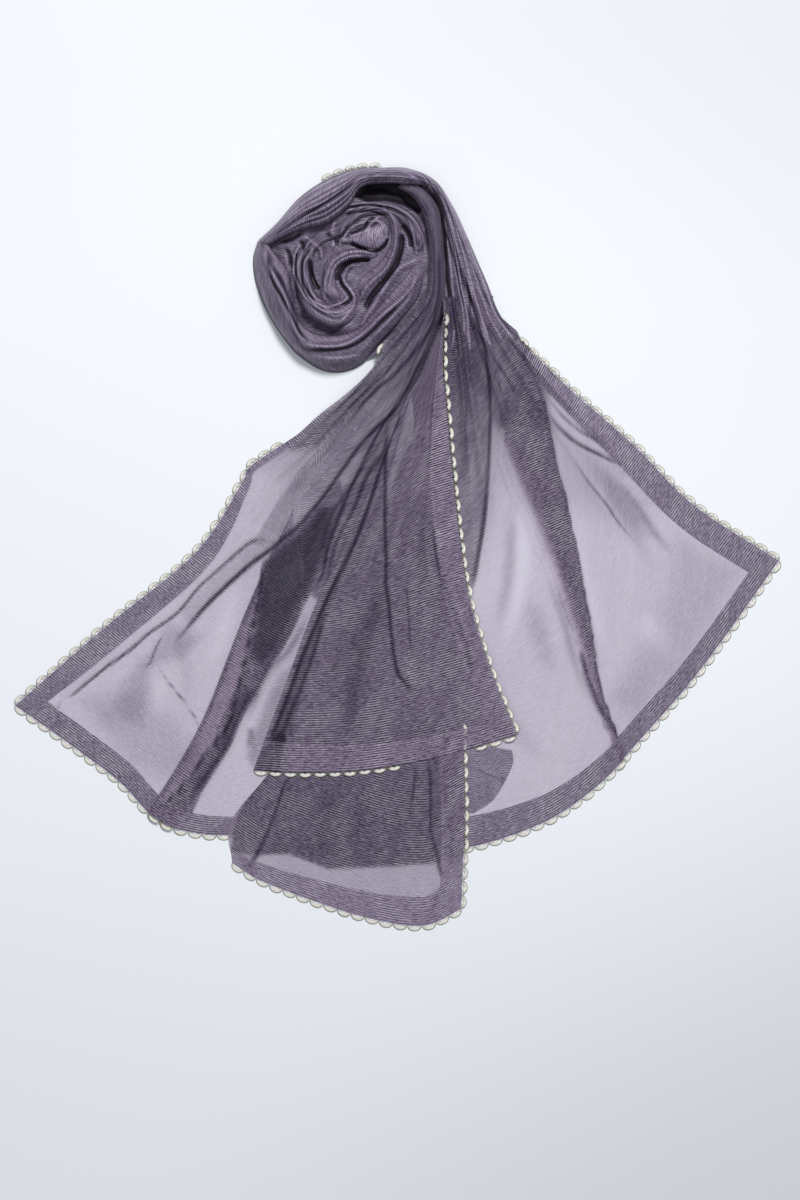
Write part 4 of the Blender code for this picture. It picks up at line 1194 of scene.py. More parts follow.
# %% The peeking fold
PEEKING_FOLD = table(
    SECTION,
    (58, -192, 116, -201, 0, 0, 0, 0),
    (58, -206, 117, -214, 0, 0, 0.6, 0),
    (60, -226, 107, -236, 0, 0, 0.6, 0),
    (62, -246, 96, -252, 0, 0, 0.6, 0),
    (64, -264, 78, -264, 0, 0, 0, 0),
)

peeking, peeking_piece = lay("peeking_fold", run_of(PEEKING_FOLD, plies=2.0, turn=0.9, crease=crease(
    [(79, -217), (102, -231), (131, -240), (144, -244)], 1.0, (3, 5), plies=1.0, strip=4)), (), "deep_cloth")

# %% [markdown]
# ### The lower panel
#
# Only its last hand's breadth shows below the front panel, so that is where its pleats are drawn. Above it
# the cloth is several layers deep, and one wide zone says so.

# %% Sections, end hem and folds of the lower panel
LOWER_PANEL = table(
    SECTION,
    (22, 129, 50, 129, 0, 0, 0, 0),
    (-1, 49, 57, 49, 0, 0, 0, 0),
    (-36, -41, 64, -41, 0, 0, 0, 0),
    (-76, -131, 69, -131, 0, 0, 0, 0),
    (-124, -220, 72, -214, 0, 0, 0, 1.2),
    (-165, -276, 73, -284, 0, 0, 0, 2.2),
    (-164, -319, 70, -366, 0, 0, 0, 0.4),
)

LOWER_PANEL_HEM = ((-164, -319), (-134, -337), (-76, -359), (-11, -378), (34, -382), (70, -366))
LOWER_PANEL_FOLDS = table(
    FOLD, (0.12, 0.09, 1, 0.04, 1), (0.30, 0.28, 0.6, 0.05, 1), (0.52, 0.52, 0.8, 0.05, 1),
    (0.72, 0.74, 1, 0.04, 1))

# %% Pleats and zones of the lower panel
LOWER_PANEL_PLEATS = (
    pleat([(20, -215), (19, -229), (16, -252), (13, -270)], 1, (3, 3), dark=4, crest=2.5, line=1.3),
    pleat([(33, -212), (35, -249), (35, -281), (41, -306), (46, -330)], 1.2, (3, 3), dark=4, crest=2.5,
          line=1.3, ends=0.1),
    pleat([(50, -212), (54, -250), (55, -290), (58, -320)], 1, (2.5, 2.5), dark=2, crest=-2, line=1.5),
    pleat([(-108, -228), (-112, -236), (-119, -258), (-128, -281), (-138, -303), (-150, -322)], 1.4, (3, 3),
          dark=5, crest=-3, line=1.4, ends=0.1),
    pleat([(-132, -232), (-148, -252), (-158, -274), (-162, -294)], 1.2, (3, 3), dark=2.5, crest=3,
          line=2.2),
    pleat([(-64, -232), (-66, -262), (-74, -292), (-70, -312)], 1.4, (6, 8), dark=1.4, line=8, ends=0.3),
    pleat([(-30, -236), (-38, -268), (-52, -296)], 1, (7, 7), dark=0.8, line=7, ends=0.3),
    pleat([(50, -332), (40, -350), (34, -372)], 1.4, (3, 3), dark=3, crest=3, line=1.5),
)
LOWER_PANEL_ZONES = (
    zone([(-166, -302), (-138, -305), (-106, -304), (-68, -319), (-26, -317), (35, -313), (80, -305),
          (80, -180), (-120, -180)], 2.9, 5),
    zone([(-166, -300), (-150, -262), (-126, -222), (-108, -222), (-119, -258), (-138, -303)], -0.5, 4),
)
print(len(LOWER_PANEL_PLEATS), "pleats and", len(LOWER_PANEL_ZONES), "zones on the lower panel")

# %% Lay the lower panel down
lower_run = run_of(LOWER_PANEL, LOWER_PANEL_FOLDS, hem=LOWER_PANEL_HEM, hem_side="b", panel_hem=True,
                   lace_from=3.5, bow_from=3, plies=1.4, zones=LOWER_PANEL_ZONES, turn=2.1,
                   row_step=FINE_STEP, column_step=FINE_STEP)
lower_panel, lower_piece = lay("lower_panel", lower_run, LOWER_PANEL_PLEATS, "panel_cloth")

# %% [markdown]
# ### The front panel
#
# It is the panel that lies on top. Two long dark pleats run down it from the rosette, and its left side is a
# fold, where the cloth is twice as dark.

# %% Sections, end hem and folds of the front panel
FRONT_PANEL = table(
    SECTION,
    (49, 235, 53, 236, 10, 9, 2, 0.2),
    (44, 219, 52, 221, 10, 9, 4, 0.5),
    (35, 198, 52, 199, 11, 9, 6, 1.4),
    (26, 175, 52, 175, 12, 9, 6, 2),
    (8, 144, 55, 144, 9, 6, 5, 3),
    (-18, 79, 61, 79, 5, 4, 2, 2.6),
    (-49, 5, 69, 4, 2, 2, 0, 2.4),
    (-80, -56, 79, -56, 0, 0, 0, 2.2),
    (-108, -131, 101, -131, 0, 0, 0, 1.8),
    (-143, -226, 125, -190, 0, 0, 0, 0.4),
)

FRONT_PANEL_HEM = ((-143, -226), (-96, -228), (-36, -226), (24, -217), (74, -205), (125, -190))
FRONT_PANEL_FOLDS = table(
    FOLD, (0.16, 0.10, 1, 0.04, 0.8), (0.36, 0.28, 0.9, 0.045, 0.7), (0.55, 0.48, 1, 0.05, 0.8),
    (0.74, 0.68, 0.9, 0.04, 0.7))

# %% Pleats and zones of the front panel
FRONT_PANEL_PLEATS = (
    pleat([(-6, 132), (-10, 99), (-11, 58), (-11, 20), (-10, -11), (-10, -35), (-7, -59), (-5, -83),
           (-2, -107), (2, -124), (12, -138), (17, -150)], 2.6, (6, 4), dark=6, crest=4, line=1.8,
          ends=0.08),
    pleat([(10, -33), (12, -59), (14, -88), (17, -107)], 1.2, (3, 3), dark=3, crest=2.5, line=1.3),
    pleat([(36, 30), (41, -11), (50, -40), (60, -69), (70, -95), (74, -119), (82, -131)], 2, (4, 4),
          dark=4.5, crest=3.5, line=1.8),
    pleat([(-16, -30), (-18, -50), (-26, -74), (-36, -112), (-44, -156), (-52, -198)], -1.6, (8, 8),
          dark=2.6, line=8, ends=0.2),
    pleat([(-46, 10), (-56, -30), (-66, -80), (-74, -130)], 1.2, (7, 7), ends=0.3),
    pleat([(26, 70), (27, 20), (30, -30)], 1, (5, 5), dark=1.2, line=4, ends=0.3),
    pleat([(8, 90), (14, 40), (16, 0)], 1, (5, 5), dark=0.8, line=4, ends=0.3),
    pleat([(-70, -58), (-80, -95), (-92, -130), (-108, -170), (-122, -206)], 1.2, (4, 3), dark=5, crest=3,
          line=2),
    pleat([(8, 140), (-5, 112), (-15, 82), (-25, 50), (-39, 12), (-51, -14), (-69, -50), (-81, -78),
           (-93, -106), (-103, -134), (-115, -166), (-127, -196)], 1.6, (2.5, 4), dark=8, crest=3,
          line=2, ends=0.05),
    pleat([(-98, -140), (-106, -164), (-110, -186)], 1, (5, 5), dark=1.6, line=5, ends=0.3),
    pleat([(50, -160), (30, -176), (4, -186)], 0.9, (6, 6), dark=0.5, line=6, ends=0.3),
)
FRONT_PANEL_ZONES = (
    zone([(-46, 6), (-76, -60), (-90, -95), (-104, -131), (-125, -183), (-146, -230), (-117, -232),
          (-106, -190), (-92, -142), (-78, -98), (-63, -52), (-44, -8)], 1.8, 3),
    zone([(-148, -232), (-138, -208), (-126, -193), (-114, -181), (-110, -189), (-115, -210), (-117, -236)],
         8, 3),
    zone([(-12, 0), (-6, -60), (-20, -96), (-36, -128), (-44, -152), (-52, -160), (-66, -140), (-64, -96),
          (-40, -56), (-22, -30)], 0.9, 16),
)
print(len(FRONT_PANEL_PLEATS), "pleats and", len(FRONT_PANEL_ZONES), "zones on the front panel")

# %% Lay the front panel down
# the dip in the table of plies near the top is painted light on the raised upper part of the panel
front_run = run_of(FRONT_PANEL, FRONT_PANEL_FOLDS, hem=FRONT_PANEL_HEM, hem_side="b", panel_hem=True,
                   plies=(2.6, 2.4, 2.0, 1.9, 2.1, 2.6, 3.2, 3.2, 2.9, 3.0), no_lace=(3, 75),
                   zones=FRONT_PANEL_ZONES, turn=3.0, row_step=FINE_STEP, column_step=FINE_STEP)
front_panel, front_piece = lay("front_panel", front_run, FRONT_PANEL_PLEATS, "panel_cloth")

# %% [markdown]
# ## Turned hems
#
# Each side and end of the cloth is turned under twice, so a hem is three layers of the same cloth and shows
# as a darker band. It is made from the cloth's own points, moved out, so it follows every fold. A tuck
# leaves two flat spans of an end's hem, one on each side of it.

# %% Make one hem
HEM_LIFT = 0.35
HEM_EDGE_LIFT = 0.12
HEM_PLIES, PANEL_HEM_PLIES = 2.1, 1.6


def part_of(cloth, rows, columns):
    return SimpleNamespace(**{key: values[rows, columns].copy() for key, values in vars(cloth).items()})


def hem_of(node, cloth, rows, columns, finish, plies):
    strip = part_of(cloth, rows, columns)
    lift = np.full(strip.grid.shape[:2], HEM_EDGE_LIFT)
    lift[1:-1, 1:-1] = HEM_LIFT
    strip.grid = strip.grid + normals_of(strip.grid) * lift[:, :, None]
    strip.plies = plies + 0.45 * np.maximum(strip.plies - 4, 0)
    lay_down(strip)
    return add_cloth(node + "_turned", strip, finish, "hem", node)


# %% The hems of a wing or panel
END_PARTS = ("end", "end_inner")


def hems_of(name, run, cloth):
    """The hem along the side, and one for each flat span of the end."""
    k, last = run.hem_row, cloth.grid.shape[1] - 1
    beside = slice(0, run.hem_column + 1) if run.hem_side == "a" else slice(run.hem_column, None)
    finish, plies = (PANEL_HEM, PANEL_HEM_PLIES) if run.panel_hem else (HEM, HEM_PLIES)
    made = [hem_of(f"{name}_side_hem", cloth, slice(run.side_from, k + 1), beside, finish, plies)]
    run.spans = [(0, last)]
    if run.tuck is not None:
        inner, outer = sorted((run.crisp_column, run.base_column))
        run.spans = [(0, inner), (outer, last)]
    for (first, final), part in zip(run.spans, END_PARTS):
        span = slice(first, final + 1)
        made.append(hem_of(f"{name}_{part}_hem", cloth, slice(k, None), span, finish, plies))
    return made


# %% [markdown]
# ## Scalloped lace
#
# The trim is a row of small satin scallops, each about 14 mm wide with a slit at its root and a corded rim.
# One scallop is turned out of its cross-section with the Spin tool and flattened. It is then copied along
# every edge, each copy with its own mesh, and one edge's copies are joined into one piece.

# %% Model one scallop
SCALLOP_WIDTH = 14.0
SCALLOP_DEPTH = 5.2
SCALLOP_SECTION = ((1.8, 0.10), (2.3, 0.36), (3.8, 0.60), (5.2, 0.70), (6.1, 0.62), (6.7, 0.42), (7.0, 0.10))
SPIN_STEPS = 12

deselect()
bpy.ops.mesh.primitive_plane_add(size=1, location=(0, 0, 0))
scallop = bpy.context.object
scallop.name = "scallop"
bpy.ops.object.mode_set(mode="EDIT")
bpy.ops.mesh.delete(type="VERT")
bpy.ops.object.mode_set(mode="OBJECT")
scallop.data.vertices.add(len(SCALLOP_SECTION))
scallop.data.edges.add(len(SCALLOP_SECTION) - 1)
for vertex, (radius, height) in zip(scallop.data.vertices, SCALLOP_SECTION):
    vertex.co = (radius * MM, 0, height * MM)
for k, edge in enumerate(scallop.data.edges):
    edge.vertices = (k, k + 1)
scallop.data.update()
bpy.ops.object.mode_set(mode="EDIT")
bpy.ops.mesh.select_all(action="SELECT")
bpy.ops.mesh.spin(steps=SPIN_STEPS, angle=-pi, center=(0, 0, 0), axis=(0, 0, 1))
bpy.ops.mesh.select_all(action="SELECT")
bpy.ops.transform.resize(value=(1, SCALLOP_DEPTH * 2 / SCALLOP_WIDTH, 1), center_override=(0, 0, 0))
bpy.ops.mesh.normals_make_consistent(inside=False)
bpy.ops.object.mode_set(mode="OBJECT")
corners = np.array([v.co for v in scallop.data.vertices]) / MM
print("scallop", corners.min(axis=0).round(2), corners.max(axis=0).round(2), len(corners), "points")

# %% [markdown]
# The satin threads of a scallop run outwards from its root, and its corded rim and slit are darker: partly the
# cord's own olive colour, partly painted shadow at the rim and at the joints between scallops. Two numbers on
# its points say where a point is: how far round the scallop, and how far out from its root.

# %% Where each point of a scallop lies
flattened = corners[:, :2] * (1, SCALLOP_WIDTH / 2 / SCALLOP_DEPTH)
out_share = np.linalg.norm(flattened, axis=1) / (SCALLOP_WIDTH / 2)
round_share = np.arctan2(flattened[:, 1], flattened[:, 0]) / pi
turn_sign = 1 if np.abs(corners[:, 1].max()) > np.abs(corners[:, 1].min()) else -1
layer = scallop.data.uv_layers.new(name="cloth")
for loop, corner in zip(layer.data, scallop.data.loops):
    loop.uv = (abs(round_share[corner.vertex_index]), out_share[corner.vertex_index])
scallop.data.shade_smooth()
print("scallop points towards", "+Y" if turn_sign > 0 else "-Y")

# %% The satin finish
THREADS = 17
# the dark rim is partly the cord's own olive colour, partly painted shadow along the scallop's outline
SATIN_COLOURS = (  # how far out, and the colour there
    (0.26, (0.22, 0.21, 0.16, 1)), (0.38, (0.80, 0.79, 0.71, 1)), (0.80, (0.90, 0.89, 0.82, 1)),
    (0.89, (0.46, 0.45, 0.38, 1)), (1.0, (0.30, 0.29, 0.24, 1)),
)
BETWEEN_THREADS = (0.45, 0.42, 0.36, 1)
SLIT_SHADOW_COLOUR = (0.22, 0.21, 0.16, 1)


def satin(name):
    finish = Finish(name, Roughness=0.42, Metallic=0.15)
    finish.shader.inputs["Specular IOR Level"].default_value = 0.55
    place = finish.node("ShaderNodeUVMap", {"uv_map": "cloth"}, {})
    split = finish.node("ShaderNodeSeparateXYZ", {}, {0: place})
    round_it, out = split.part("X"), split.part("Y")
    threads = 0.5 + 0.5 * (round_it * (2 * pi * THREADS)).sine()
    colour = finish.ramp(out, SATIN_COLOURS)
    middle = finish.step(round_it, 0.06, 0.22) * finish.step(1 - round_it, 0.06, 0.22)
    body = middle * finish.step(out, 0.27, 0.36)
    rim = finish.step(out, 0.86, 0.92)
    threaded = finish.mix(threads, BETWEEN_THREADS, (1, 1, 1, 1))
    shaded = finish.mix(0.25, colour, threaded, blend_type="MULTIPLY")
    finish.surface("Alpha", 0.20 + 0.75 * (1 - (1 - body) * (1 - rim * 0.85)))
    # where scallops meet, the slit is painted dark: partly their own olive spots, partly painted shadow at the
    # joints
    finish.surface("Base Color", finish.mix(middle, SLIT_SHADOW_COLOUR, shaded))
    finish.surface("Normal", finish.node("ShaderNodeBump", {}, {
        "Strength": 0.5, "Distance": 0.0003, "Height": threads}))
    return finish.material


scallop.data.materials.append(satin("satin_lace"))
print("finish:", scallop.data.materials[0].name)

# %% [markdown]
# ### A row of copies
#
# Lace and stitches are both one small pattern repeated along a line. The line is divided into equal parts
# near the wanted pitch, so that a row ends with a whole scallop, and each copy is turned to follow the line.

# %% Set copies of a pattern in a row
def in_a_row(pattern, name, node, places):
    """Copies of a pattern at places of (middle, along, out, stretch), joined into one piece."""
    deselect()
    copies = []
    for middle, along, out, stretch in places:
        up = np.cross(along, out)
        if up[2] < 0:
            along, up = -along, -up
        axes = Matrix(np.array([along * stretch, out, up]).T.tolist()).to_4x4()
        axes.translation = middle * MM
        copy = pattern.copy()
        copy.data = pattern.data.copy()
        copy.data.transform(axes)
        bpy.context.scene.collection.objects.link(copy)
        copies.append(copy)
    for copy in copies:
        copy.select_set(True)
    bpy.context.view_layer.objects.active = copies[0]
    bpy.ops.object.join()
    piece = bpy.context.object
    piece.name = name
    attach(piece, BODY)
    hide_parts(node)
    deselect()
    print(name, len(copies), "copies")
    return piece


# %% Places along a line
def unit(v):
    return v / (np.linalg.norm(v) + 1e-12)


def spaced(line, pitch):
    """Places along a line about a pitch apart: (middle, direction) for each, and the real pitch."""
    length = distances(line)
    count = max(1, int(round(length[-1] / pitch)))
    at = (np.arange(count)[:, None] + np.array([0, 0.5, 1])) / count * length[-1]
    return [(p[1], unit(p[2] - p[0])) for p in read_off(line, length, at)], length[-1] / count


# %% Copy the scallop along an edge
LACE_PITCH = 14.5
LACE_OUT = 0.1  # gap between the hem's edge and the root of the lace
LACE_LIFT = 0.05
LACE_WOBBLE = 0.05  # share by which the scallops' depths differ


def lace_along(node, edge, inside, pitch=LACE_PITCH, skip=None):
    """Scallops along an edge line. inside is a point on the cloth's side of it. skip: between these places
    across, the edge is turned under and shows none."""
    places, real_pitch = spaced(smooth_line(edge, step=3.0), pitch)
    middle, along = places[len(places) // 2]
    side = 1 if (middle - inside)[:2] @ (along[1], -along[0]) > 0 else -1
    found = []
    for k, (middle, along) in enumerate(places):
        if skip is None or not skip[0] < middle[0] < skip[1]:
            out = unit(np.array([along[1], -along[0], 0.0])) * side
            wobble = 1 + LACE_WOBBLE * np.sin(2.3 * k + len(node))
            found.append((middle + out * LACE_OUT + (0, 0, LACE_LIFT), along, out * turn_sign * wobble,
                          real_pitch / SCALLOP_WIDTH))
    return in_a_row(scallop, node + "_scallops", node, found)


def lace_of(name, run, cloth):
    grid = cloth.grid
    inside = grid[grid.shape[0] // 2, grid.shape[1] // 2]
    side = grid[run.side_lace_from:, -1 if run.hem_side == "b" else 0]
    made = [lace_along(f"{name}_side_lace", side, inside, skip=run.no_side_lace)]
    for (first, final), part in zip(run.spans, END_PARTS):
        edge, inside = grid[-1, first:final + 1], grid[-12, (first + final) // 2]
        made.append(lace_along(f"{name}_{part}_lace", edge, inside, skip=run.no_lace))
    return made


# %% [markdown]
# The inner edge of each hem is sewn down with small running stitches. A stitch is a short thread, fat in
# its middle, that dips into the cloth at both ends.

# %% Model one stitch
STITCH_PITCH = 4.2
STITCH_SHAPE = (1.35, 0.28, 0.22)
THREAD_COLOUR = (0.34, 0.30, 0.38, 1)

thread = Finish("thread", Roughness=0.6)
thread.shader.inputs["Base Color"].default_value = THREAD_COLOUR
deselect()
bpy.ops.mesh.primitive_uv_sphere_add(segments=6, ring_count=4, radius=MM, location=(0, 0, 0))
stitch = bpy.context.object
stitch.name = "stitch"
bpy.ops.object.mode_set(mode="EDIT")
bpy.ops.mesh.select_all(action="SELECT")
bpy.ops.transform.resize(value=STITCH_SHAPE, center_override=(0, 0, 0))
bpy.ops.object.mode_set(mode="OBJECT")
stitch.data.shade_smooth()
stitch.data.materials.append(thread.material)
print("stitch", len(stitch.data.polygons), "faces")

# %% Sew along a line of the hem
STITCH_LIFT = HEM_LIFT + 0.05


def sewn_along(name, node, line):
    places, _ = spaced(line, STITCH_PITCH)
    return in_a_row(stitch, name, node, [
        (middle, along, unit(np.cross((0.0, 0.0, 1.0), along)), 1.0) for middle, along in places])


def stitches_of(name, run, cloth):
    """Stitches just inside the inner edges of the side hem and of the end hem."""
    lifted = cloth.grid + normals_of(cloth.grid) * STITCH_LIFT
    k, inwards = run.hem_row, 1 if run.hem_side == "b" else -1
    lines = [("side", lifted[run.side_from:k, run.hem_column + inwards])]
    lines += [(part, lifted[k + 1, first:final + 1]) for (first, final), part in zip(run.spans, END_PARTS)]
    return [sewn_along(f"{name}_{part}_stitches", f"{name}_{part}_hem", line) for part, line in lines]


# %% Hem and trim the wings and panels
TRIMMED = (("left_wing", left_wing_run, left_wing), ("right_wing", right_wing_run, right_wing),
           ("lower_panel", lower_run, lower_panel), ("front_panel", front_run, front_panel))
trims = {}
for name, run, cloth in TRIMMED:
    trims[name] = hems_of(name, run, cloth) + lace_of(name, run, cloth) + stitches_of(name, run, cloth)

# %% [markdown]
# ## The rosette
#
# The rolled middle is a coil of gathered cloth many layers thick, so almost no light comes through it. Its
# dark heart is one bumpy fold of cloth, and round it lie the coils, each with sharp uneven pleats along it.

# %% Pleat lines over the whole rosette
TOP_PLEATS = (
    pleat([(22, 366), (30, 348), (35, 324), (37, 300), (33, 278), (24, 257), (9, 236)], -1.6, (1.3, 1.6),
          dark=4, line=1, ends=0.08),
    pleat([(15, 377), (30, 369), (42, 345), (49, 315), (50, 284), (45, 257), (33, 230), (15, 206)], -1.4,
          (1.2, 1.4), dark=3.5, line=1, ends=0.08),
    pleat([(27, 375), (42, 363), (54, 333), (63, 300), (71, 266), (75, 230)], -1.2, (1.2, 1.4), dark=3,
          line=0.9, ends=0.08),
    pleat([(-133, 308), (-97, 333), (-48, 361), (-20, 374), (1, 377), (29, 368), (42, 333), (50, 318),
           (60, 290), (70, 262), (80, 236)], 2.6, (5, 1.8)),
    pleat([(-129, 306), (-87, 329), (-55, 348), (-34, 364), (-6, 374), (15, 371), (29, 352), (38, 322),
           (41, 290), (48, 262), (52, 240)], 2.2, (1.8, 3.6)),
    pleat([(-120, 318), (-88, 346), (-60, 362), (-30, 376)], 1, (3, 2)),
    pleat([(-128, 307), (-92, 330), (-60, 350), (-36, 370)], -1.8, (1.4, 1.4), dark=3),
    pleat([(36, 366), (52, 338), (62, 314), (74, 286), (88, 256)], -1.2, (1.3, 1.5), dark=1.4),
    pleat([(30, 362), (44, 330), (54, 300), (62, 270), (68, 240)], -1.3, (1.2, 1.4), dark=1.4),
    pleat([(24, 364), (38, 342), (48, 312), (54, 284), (58, 258)], 1.6, (1.6, 1.6)),
    pleat([(44, 360), (60, 330), (72, 300), (82, 272)], 1.4, (2, 2)),
)

# %% Pleat lines of the outer wrap
WRAP_PLEATS = (
    pleat([(-132, 309), (-123, 294), (-111, 282), (-101, 270), (-101, 258), (-99, 246), (-90, 234),
           (-78, 226), (-60, 225), (-42, 231)], 3, (1.8, 3), ends=0.08),
    pleat([(-134, 303), (-129, 285), (-120, 267), (-111, 252), (-104, 231), (-97, 213), (-88, 202),
           (-69, 200), (-48, 204), (-30, 216), (-15, 231), (0, 243), (14, 258), (24, 276)], 4.2, (3, 2),
          ends=0.06),
    pleat([(-138, 279), (-132, 255), (-123, 231), (-111, 213), (-96, 198), (-78, 190), (-57, 189),
           (-36, 192), (-21, 197)], 2, (2.4, 1.8)),
    pleat([(-130, 300), (-124, 282), (-115, 268), (-107, 250), (-101, 232), (-94, 214), (-82, 205)], -2.6,
          (2.2, 2.6), dark=2, line=2),
    pleat([(-125, 237), (-104, 209), (-83, 188), (-48, 187), (-24, 190)], 1.3, (2.2, 1.4)),
    pleat([(-130, 292), (-121, 264), (-108, 240), (-96, 216), (-90, 207)], -2, (1.6, 2.4), dark=5),
    pleat([(-90, 199), (-56, 199), (-36, 206), (-14, 226), (6, 246)], -1.8, (1.6, 2.6), dark=5),
    pleat([(20, 277), (13, 249), (-6, 228), (-25, 208)], 1.8, (2.6, 1.8)),
)

# %% [markdown]
# The rings inside are too many and too close to be sheets of their own. They are pressed as lines: a crest
# that catches the light, or a valley with a dark line painted in it as its shade.

# %% Pleat lines of the rings
RING_PLEATS = (
    # rings at the top and right, stacked close together
    pleat([(-56, 341), (-38, 344), (-25, 345), (-13, 343), (-1, 340), (11, 334), (19, 326), (26, 313),
           (29, 300), (28, 288)], 2.2, (1.2, 1.3)),
    pleat([(-54, 336), (-37, 340), (-22, 340), (-12, 337), (-3, 331)], 1.8, (1, 1.1)),
    pleat([(-10, 339), (2, 333), (12, 326), (17, 316), (19, 303), (22, 291)], 2, (1.1, 1.4)),
    pleat([(14, 322), (18, 309), (20, 299), (25, 303), (22, 314)], 1.8, (1.2, 1.2)),
    pleat([(-55, 339), (-38, 342), (-22, 342), (-6, 338), (8, 331), (16, 321)], -1.2, (0.9, 0.9), dark=6,
          line=1),
    pleat([(-52, 333), (-36, 336), (-22, 336), (-12, 332)], -1.4, (1, 1.2), dark=6, line=1.2),
    pleat([(5, 324), (10, 318), (14, 310), (15, 300)], -2, (2.2, 2.2), dark=8, line=2),
    # folds above the petal
    pleat([(-13, 333), (-22, 328), (-34, 325), (-46, 319), (-51, 311), (-56, 303)], 2.4, (1.6, 2.4)),
    pleat([(-34, 338), (-43, 329), (-52, 321), (-54, 309), (-58, 300)], 2.4, (2.4, 1.8)),
    pleat([(-60, 328), (-64, 316), (-62, 306), (-64, 298)], 1.8, (1.8, 2)),
    pleat([(-44, 324), (-52, 316), (-54, 306)], -1.6, (1.4, 1.4), dark=3, line=1.2, ends=0.3),
    pleat([(-72, 316), (-62, 309), (-56, 300)], -1.6, (2.4, 2.4), dark=2, line=2.4, ends=0.3),
    # the ring round the petal, down to the flap
    pleat([(-16, 345), (-10, 337), (-3, 329), (0, 316), (-1, 301), (-6, 286), (-13, 275), (-22, 268),
           (-31, 258), (-36, 246)], 2.6, (2, 1.8), ends=0.06),
    pleat([(6, 316), (5, 300), (0, 284), (-8, 271), (-16, 262), (-24, 252), (-32, 238)], -2.6, (3, 2.6),
          dark=9, line=2.6, ends=0.08),
    # the petal
    pleat([(-48, 311), (-38, 314), (-30, 317), (-26, 323), (-20, 327), (-13, 324), (-9, 318), (-10, 309),
           (-15, 303)], 2.4, (1.3, 2), ends=0.06),
    pleat([(-46, 306), (-38, 302), (-29, 298), (-20, 297), (-12, 302), (-8, 310)], -2.2, (1.3, 1.6),
          dark=10, line=1.5, ends=0.08),
    pleat([(-47, 313), (-38, 317), (-31, 321), (-28, 327), (-20, 331)], -1.4, (1.2, 1.2), dark=7,
          line=1.1),
    # the long bent fold below it
    pleat([(-20, 294), (-35, 296), (-46, 295), (-55, 291), (-63, 285), (-67, 276), (-71, 265), (-72, 255),
           (-70, 247)], 2.4, (1.6, 2), ends=0.06),
    pleat([(-30, 291), (-43, 291), (-52, 288), (-60, 282), (-64, 273), (-66, 264), (-68, 253)], 1.8,
          (1.1, 1.1)),
    pleat([(-24, 288), (-34, 288), (-42, 287), (-49, 284), (-55, 278), (-58, 271), (-60, 266)], -3,
          (1.6, 3), dark=11, line=2, ends=0.12),
    pleat([(-38, 284), (-46, 281), (-51, 274), (-52, 267), (-46, 259), (-41, 250), (-43, 240), (-50, 231),
           (-58, 222)], 2.4, (1.6, 2.2), ends=0.08),
    pleat([(-56, 272), (-54, 264), (-48, 256), (-45, 250), (-49, 245), (-56, 243)], -2.2, (1.4, 1.6),
          dark=9, line=1.4),
    # rings at the left
    pleat([(-80, 306), (-87, 304), (-95, 291), (-98, 279), (-97, 267), (-91, 255), (-82, 246), (-71, 241),
           (-61, 243), (-52, 247), (-48, 253)], 2.2, (1.2, 1.4), ends=0.06),
    pleat([(-96, 304), (-101, 292), (-102, 280), (-101, 270), (-95, 257), (-88, 247), (-77, 239),
           (-66, 235), (-52, 236)], 2, (1.4, 1.2), ends=0.06),
    pleat([(-86, 296), (-91, 283), (-90, 271), (-85, 258), (-79, 249), (-71, 246)], 2, (1, 1.2)),
    pleat([(-84, 302), (-92, 288), (-94, 276), (-92, 264), (-86, 253), (-78, 245)], -1.4, (0.9, 0.9),
          dark=7, line=1),
    pleat([(-98, 298), (-100, 286), (-99, 273), (-94, 260), (-86, 248)], -1.3, (0.9, 0.9), dark=6,
          line=1),
    pleat([(-85, 290), (-85, 279), (-82, 268), (-76, 257)], -2.6, (1.6, 3), dark=10, line=2.4),
    pleat([(-93, 311), (-87, 309), (-80, 302), (-75, 298), (-74, 288)], 1.8, (1.6, 1.6)),
    pleat([(-83, 301), (-84, 291), (-85, 279)], 1.6, (1, 1.6)),
    pleat([(-97, 308), (-92, 303), (-92, 294)], -2, (1.8, 1.8), dark=4, line=1.4, ends=0.3),
    pleat([(-112, 302), (-106, 292), (-104, 278)], -2.4, (2.4, 2.4), dark=3, line=2.4, ends=0.3),
    pleat([(-118, 306), (-104, 309), (-90, 318)], -1.6, (2.4, 2.4), dark=3, line=2.4, ends=0.3),
    # the flap at the lower right
    pleat([(23, 288), (14, 285), (2, 279), (-7, 270), (-13, 258), (-20, 246), (-28, 234), (-36, 220)], 2,
          (3.6, 2.2), ends=0.08),
    pleat([(26, 274), (14, 256), (-1, 242), (-16, 230), (-27, 219)], -1.6, (2.6, 2), dark=5, line=1.8),
)
print(len(TOP_PLEATS) + len(WRAP_PLEATS) + len(RING_PLEATS), "pleats on the rosette")

# %% [markdown]
# ### The dark inner folds
#
# Behind the coils lies one rolling sheet that fills the rosette's outline, low at its rim. It is drawn as
# rings and spokes round a middle. A hollow near the top is deeper than the rest, and extra plies paint the
# shade in it darker.

# %% Outline of the inner folds
LINING_EDGE = [(-131, 302), (-112, 322), (-84, 348), (-50, 366), (-16, 373), (16, 370), (40, 352), (54, 322),
               (62, 288), (64, 258), (52, 236), (24, 222), (0, 204), (-30, 190), (-62, 186), (-92, 202),
               (-116, 232), (-132, 268)]
HOLLOW = [(-40, 352), (-30, 368), (6, 372), (24, 362), (30, 344), (22, 336), (8, 344), (-10, 348), (-30, 348)]
CORE_MIDDLE = (-37, 287)
CORE_REACH = (82, 75)
CORE_HEIGHT, RIM_DROP = 10.6, 6.0
HOLLOW_DEPTH, HOLLOW_SHADE_PLIES = 4.0, 12
RINGS, SPOKES = 120, 420


